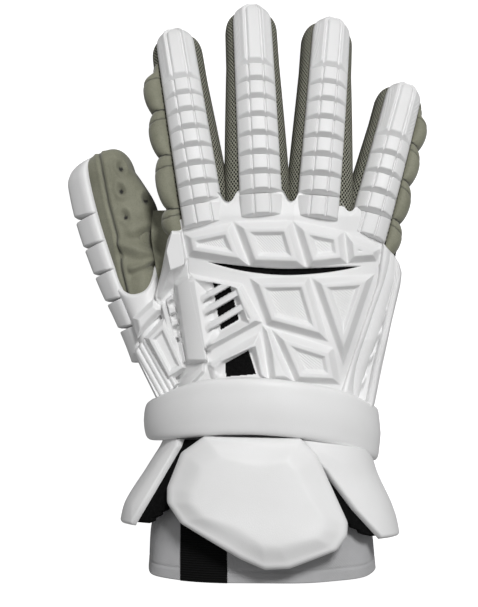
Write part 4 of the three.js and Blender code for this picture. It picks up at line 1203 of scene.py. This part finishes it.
def make_wrist_roll():
    """The fat roll over the wrist: a soft-cornered section carried round the wrist on a bowed line."""
    centre, half, top, mid, _ = (float(v) for v in section(HAND, np.array(-60.0)))
    out = ROLL["thick"] / 2 + 0.6
    share = np.linspace(-1, 1, 220)
    turn = np.radians(ROLL["reach"] * share)[:, None]
    angle = np.linspace(0, 2 * np.pi, 72, endpoint=False)[None, :]
    round_end = round_over((1 - np.abs(share)) * 9, 1)[:, None]
    x = centre + ROLL["shift"] + (half + out - 1.2) * np.sin(turn)
    z = mid + (top - mid + out) * np.cos(turn)
    y = roll_line(x)
    thin = 1 - ROLL["narrow"] * np.maximum(0, -(x - 15) / ROLL["span"] - 0.4) ** 2
    v, n = squircle(angle, ROLL["long"] / 2 * (0.55 + 0.45 * round_end) * thin,
                    ROLL["thick"] / 2 * (0.15 + 0.85 * round_end), ROLL["power"])
    facet = 0.35 * np.cos(2 * np.pi * v / (ROLL["long"] * 0.62)) * (n > 0)
    n = n + facet * round_end
    grid = np.stack([x + np.sin(turn) * n, y + v, z + np.cos(turn) * n], -1)
    add_piece("wrist_roll_pad", [tube(grid)], "wrist_roll", ["white_leather"])


def elastic_edges(y):
    """Angles round the cuff at both edges of its elastic panel."""
    return [angle_at(CUFF, ELASTIC[side], y[:, 0])[:, None] for side in ("left", "right")]


def add_cuff_wall(name, node, material, y, angle, grow=0.0, **edges):
    """A piece of the cuff's wall over distances y and angles round it, its outer face grown."""
    outer = around(CUFF, y, angle, grow, cuff_bend(0.0))
    part = wall(outer, around(CUFF, y, angle, -CUFF_WALL, cuff_bend(CUFF_WALL)), **edges)
    add_piece(name, [part], node, [material], uv=grid_uv(outer.shape[:2], part[0]))


def make_cuff():
    """The inner cuff: a flared tube of woven cloth with a slanted, hemmed end, and its elastic panel.

    Angles run the long way round from the panel and then over it, where cells of the panel are left out.
    """
    y = np.linspace(-66.5, -147, 130)[:, None]
    left, right = elastic_edges(y)
    gap = 0.006
    ramp = np.linspace(0, 1, 150)[None, :]
    round_way = left + gap + (2 * np.pi + right - gap - left - gap) * ramp
    over = right + gap + (left - gap - right - gap) * np.linspace(0, 1, 36)[None, :]
    angle = np.concatenate([round_way, over + 2 * np.pi, round_way[:, :1] + 2 * np.pi], 1)
    hem = 0.5 * bell(y + 141, 0.5)
    puff = 0.5 * np.sin(angle * 9 + y * 0.07) * smooth_step(-100, -130, y)
    keep = np.ones((len(y) - 1, angle.shape[1] - 1), bool)
    keep[y[:-1, 0] < ELASTIC["end"], 150:185] = False
    add_cuff_wall("wrist_cuff_cloth", "wrist_cuff", "grey_weave", y, angle, puff - hem - 0.3,
                  keep=keep, joined=("left", "right"))

    y = np.linspace(ELASTIC["end"] - 0.6, -147, 90)[:, None]
    left, right = elastic_edges(y)
    angle = right + (left - right) * np.linspace(0, 1, 40)[None, :]
    add_cuff_wall("cuff_elastic_band", "cuff_elastic", "ribbed_elastic", y, angle)


SHIELD = np.array([
    (-19, -72), (33.5, -73), (42.3, -82), (59, -118.7), (58.4, -125.7), (53, -133.2), (27.3, -142.8),
    (13.9, -143.4), (0.5, -137.5), (-31.6, -118.7), (-39.1, -108), (-39.1, -100), (-31.6, -81.2),
], float)
SHIELD_SOFTNESS = 0.16


def closed_curve(corners, count, soft):
    """A closed outline through corners, with each corner rounded by averaging along the outline."""
    loop = np.vstack([corners, corners[:1]])
    run = np.concatenate([[0], np.cumsum(np.linalg.norm(np.diff(loop, axis=0), axis=1))])
    at = np.linspace(0, run[-1], 2048, endpoint=False)
    line = np.stack([np.interp(at, run, loop[:, k]) for k in (0, 1)], -1)
    spread = int(soft * 100)
    kernel = np.hanning(2 * spread + 3)
    kernel /= kernel.sum()
    padded = np.concatenate([line[-spread - 1:], line, line[:spread + 1]])
    line = np.stack([np.convolve(padded[:, k], kernel, "valid") for k in (0, 1)], -1)
    pick = (np.arange(count) * len(line) / count).astype(int)
    return line[pick]


def make_shield():
    """The loose shield over the cuff: a domed pad with a rounded lip, on a plan outline over the bell."""
    rim = closed_curve(SHIELD, 240, SHIELD_SOFTNESS)
    centre = rim.mean(0)
    share = np.concatenate([np.linspace(0.02, 0.86, 26), 0.86 + 0.14 * np.linspace(0, 1, 22)[1:] ** 0.7])
    share = share[:, None, None]
    plan = centre + (rim[None] - centre) * share
    x, y = plan[..., 0], plan[..., 1]
    inward = (1 - share[..., 0]) * np.linalg.norm(rim - centre, axis=1)[None, :]
    grow = 4.6 + 4.2 * round_over(inward, 3.4) + 4.0 * smooth_step(2.0, 15, inward)
    base = height_over(BELL, x, y)
    top = np.stack([x, y, base + grow], -1)
    under = np.stack([x, y, base + 4.3], -1)
    grid = np.concatenate([top, under[::-1]], 0)
    add_piece("cuff_shield_pad", [tube(grid)], "cuff_shield", ["white_leather"])


def flap(side, line, low, starts, end, grow_low, grow_high, rows=90, columns=70, jag=0.0, crown=0.0):
    """A loose flap of the bell between an inner plan line and a height on its side.

    Rows run from a slanting start under the roll to a straight end. jag cuts even teeth into the inner
    line, and crown raises the middle.
    """
    row = np.linspace(0, 1, rows)[:, None]
    share = np.linspace(0, 1, columns)[None, :]
    start = starts[0] + (starts[1] - starts[0]) * share
    y = start + (end - start) * row
    line = np.array(line)
    inner_y = y[:, :1]
    teeth = side * jag * np.abs(((inner_y / 3.2) % 1) - 0.5) * 2
    inner_x = np.interp(-inner_y, -line[:, 1], line[:, 0]) - teeth
    upper = angle_at(BELL, inner_x, inner_y, grow_low)
    lower = angle_down(BELL, y[:, -1:], low + 0 * row, side)
    angle = upper + (lower - upper) * share
    rim = np.minimum(np.minimum(share * 60, (1 - share) * 60), np.minimum(row * 50 + 3, (1 - row) * 50))
    thick = grow_low + (grow_high - grow_low) * round_over(rim, 2.5) + crown * smooth_step(0, 14, rim)
    return wall(around(BELL, y, angle, thick), around(BELL, y, angle, grow_low - 0.1))


WINGS = {
    "thumb": dict(side=-1, line=[(-29, -72), (-31.4, -78.5), (-57.5, -123)], low=18, starts=(-74, -76),
                  end=-121.5,
                  lining=[(-14, -72), (-17, -77), (-24, -92), (-30, -104), (-50, -121), (-56, -123)]),
    "outer": dict(side=1, line=[(32, -72), (34, -80), (45, -90.7), (61.5, -112.5), (76.5, -129)], low=26,
                  starts=(-74, -84), end=-128.5,
                  lining=[(20, -72), (22, -79), (37, -95), (52, -115), (68, -126), (76, -128)]),
}


def make_wing(name):
    """A loose wing of the cuff: a padded white flap, with a black serrated lining under its inner edge."""
    wing = WINGS[name]
    part = flap(wing["side"], wing["line"], wing["low"], wing["starts"], wing["end"], 0.2, 3.4, crown=0.9)
    node = "cuff_wing_" + name
    add_piece(node + "_pad", [part], node, ["white_leather"])
    part = flap(wing["side"], wing["lining"], wing["low"] + 2, wing["starts"], wing["end"] + 1.5, -2.2, -0.2,
                rows=160, jag=1.6)
    add_piece("wing_lining_" + name + "_knit", [part], "wing_lining_" + name, ["black_knit"])


def make_stage():
    """A plain floor, a key sun from beyond the fingertips, a faint fill, and the camera straight above."""
    floor = bpy.data.meshes.new("floor")
    floor.from_pydata([(-3, -3, 0), (3, -3, 0), (3, 3, 0), (-3, 3, 0)], [], [(0, 1, 2, 3)])
    paint = bpy.data.materials.new("floor_paint")
    paint.use_nodes = True
    shader = paint.node_tree.nodes["Principled BSDF"]
    shader.inputs["Base Color"].default_value = (FLOOR_GREY, FLOOR_GREY, FLOOR_GREY, 1)
    shader.inputs["Roughness"].default_value = 0.9
    shader.inputs["Emission Color"].default_value = (1, 1, 1, 1)
    # The floor glows for camera rays alone: it shows white and reflects as grey.
    rays = paint.node_tree.nodes.new("ShaderNodeLightPath")
    paint.node_tree.links.new(rays.outputs["Is Camera Ray"], shader.inputs["Emission Strength"])
    floor.materials.append(paint)
    ground = bpy.data.objects.new("floor", floor)
    bpy.context.scene.collection.objects.link(ground)

    world = bpy.data.worlds.new("studio")
    bpy.context.scene.world = world
    world.use_nodes = True
    world.node_tree.nodes["Background"].inputs["Color"].default_value = (1, 1, 1, 1)
    world.node_tree.nodes["Background"].inputs["Strength"].default_value = WORLD_LIGHT
    for name, (way, angle, strength) in SUNS.items():
        lamp = bpy.data.lights.new(name, "SUN")
        lamp.angle = np.radians(angle)
        lamp.energy = strength
        light = bpy.data.objects.new(name, lamp)
        light.location = way
        light.rotation_euler = (-Vector(way)).to_track_quat("-Z", "Y").to_euler()
        bpy.context.scene.collection.objects.link(light)

    bpy.context.scene.view_settings.view_transform = "Standard"

    camera = bpy.data.objects.new("camera", bpy.data.cameras.new("camera"))
    camera.location = (ORIGIN[0] * MM, ORIGIN[1] * MM, EYE_HEIGHT * MM)
    camera.data.sensor_fit = "VERTICAL"
    camera.data.sensor_height = 24
    camera.data.lens = camera.data.sensor_height * EYE_HEIGHT / VIEW_HEIGHT
    bpy.context.scene.collection.objects.link(camera)
    bpy.context.scene.camera = camera


# The add-on: what a user can set, one operator for each piece or group of like pieces, and a panel.


class GloveSizes(PropertyGroup):
    tile_rise: FloatProperty(name="Tile rise", description="How far the tiles stand over the hand",
                             default=0.007, subtype="DISTANCE", unit="LENGTH")


class GloveColours(PropertyGroup):
    pad_white: FloatVectorProperty(name="Pads", description="White of the padded tiles and rolls",
                                   default=(0.80, 0.80, 0.80), subtype="COLOR")
    leather: FloatVectorProperty(name="Leather", description="Olive of the palm, thumb and side rolls",
                                 default=(0.25, 0.25, 0.185), subtype="COLOR")
    mesh: FloatVectorProperty(name="Mesh", description="Olive of the open knit between the fingers",
                              default=(0.33, 0.33, 0.27), subtype="COLOR")
    cuff: FloatVectorProperty(name="Cuff", description="Grey of the woven cuff",
                              default=(0.46, 0.46, 0.47), subtype="COLOR")
    lining: FloatVectorProperty(name="Lining", description="Black of the lining and elastic",
                                default=(0.003, 0.003, 0.003), subtype="COLOR")


class GLOVE_OT_finger_shells(Operator):
    """Build the leather fronts and mesh gussets of the four fingers"""

    bl_idname = "glove.finger_shells"
    bl_label = "Finger shells"

    def execute(self, context):
        for name in FINGERS:
            make_finger_shell(name)
        return {"FINISHED"}


class GLOVE_OT_digit_pads(Operator):
    """Build the segmented pads on the fingers and thumb"""

    bl_idname = "glove.digit_pads"
    bl_label = "Digit pads"

    def execute(self, context):
        for name in (*FINGERS, "thumb"):
            make_finger_pad(name)
        return {"FINISHED"}


class GLOVE_OT_side_rolls(Operator):
    """Build the padded leather rolls down the outer sides of the index and little finger"""

    bl_idname = "glove.side_rolls"
    bl_label = "Side rolls"

    def execute(self, context):
        for name in SIDE_ROLLS:
            make_side_roll(name)
        return {"FINISHED"}


class GLOVE_OT_thumb(Operator):
    """Build the thumb's leather stall"""

    bl_idname = "glove.thumb"
    bl_label = "Thumb stall"

    def execute(self, context):
        make_thumb()
        return {"FINISHED"}


class GLOVE_OT_hand(Operator):
    """Build the leather palm and the black lining over the back of the hand"""

    bl_idname = "glove.hand"
    bl_label = "Palm and lining"

    def execute(self, context):
        make_hand("palm_leather", "palm", "olive_leather", -1)
        make_hand("back_lining", "back_liner", "black_knit", 1)
        return {"FINISHED"}


class GLOVE_OT_hand_pads(Operator):
    """Build the tiled pads over the knuckles and the back of the hand"""

    bl_idname = "glove.hand_pads"
    bl_label = "Hand pads"

    def execute(self, context):
        make_knuckle_pad()
        make_back_pad()
        return {"FINISHED"}


class GLOVE_OT_side_pads(Operator):
    """Build the pads down the index side, over the thumb's base and down the outer edge"""

    bl_idname = "glove.side_pads"
    bl_label = "Side pads"

    def execute(self, context):
        make_index_side()
        make_thumb_base()
        make_outer_rail()
        return {"FINISHED"}


class GLOVE_OT_wrist(Operator):
    """Build the wrist roll, the cuff and its elastic panel"""

    bl_idname = "glove.wrist"
    bl_label = "Wrist"

    def execute(self, context):
        make_wrist_roll()
        make_cuff()
        return {"FINISHED"}


class GLOVE_OT_flaps(Operator):
    """Build the loose shield and the two wings of the cuff with their linings"""

    bl_idname = "glove.flaps"
    bl_label = "Cuff flaps"

    def execute(self, context):
        make_shield()
        for name in WINGS:
            make_wing(name)
        return {"FINISHED"}


class GLOVE_OT_stage(Operator):
    """Set up the floor, the lights and the camera"""

    bl_idname = "glove.stage"
    bl_label = "Stage"

    def execute(self, context):
        make_stage()
        return {"FINISHED"}


PIECES = (
    GLOVE_OT_finger_shells, GLOVE_OT_digit_pads, GLOVE_OT_side_rolls, GLOVE_OT_thumb, GLOVE_OT_hand,
    GLOVE_OT_hand_pads, GLOVE_OT_side_pads, GLOVE_OT_wrist, GLOVE_OT_flaps, GLOVE_OT_stage,
)


class GLOVE_PT_panel(Panel):
    """The glove's sizes, colours and pieces"""

    bl_idname = "GLOVE_PT_panel"
    bl_label = "Lacrosse glove"
    bl_space_type = "VIEW_3D"
    bl_region_type = "UI"
    bl_category = "Glove"

    def draw(self, context):
        for group in (context.scene.glove_sizes, context.scene.glove_colours):
            for key in group.__annotations__:
                self.layout.prop(group, key)
        for piece in PIECES:
            self.layout.operator(piece.bl_idname)


CLASSES = (GloveSizes, GloveColours, *PIECES, GLOVE_PT_panel)


def register():
    for made in CLASSES:
        bpy.utils.register_class(made)
    bpy.types.Scene.glove_sizes = PointerProperty(type=GloveSizes)
    bpy.types.Scene.glove_colours = PointerProperty(type=GloveColours)


def unregister():
    del bpy.types.Scene.glove_colours
    del bpy.types.Scene.glove_sizes
    for made in reversed(CLASSES):
        bpy.utils.unregister_class(made)


def main():
    register()
    for piece in PIECES:
        group, name = piece.bl_idname.split(".")
        getattr(getattr(bpy.ops, group), name)()
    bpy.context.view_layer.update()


if __name__ == "__main__":
    main()
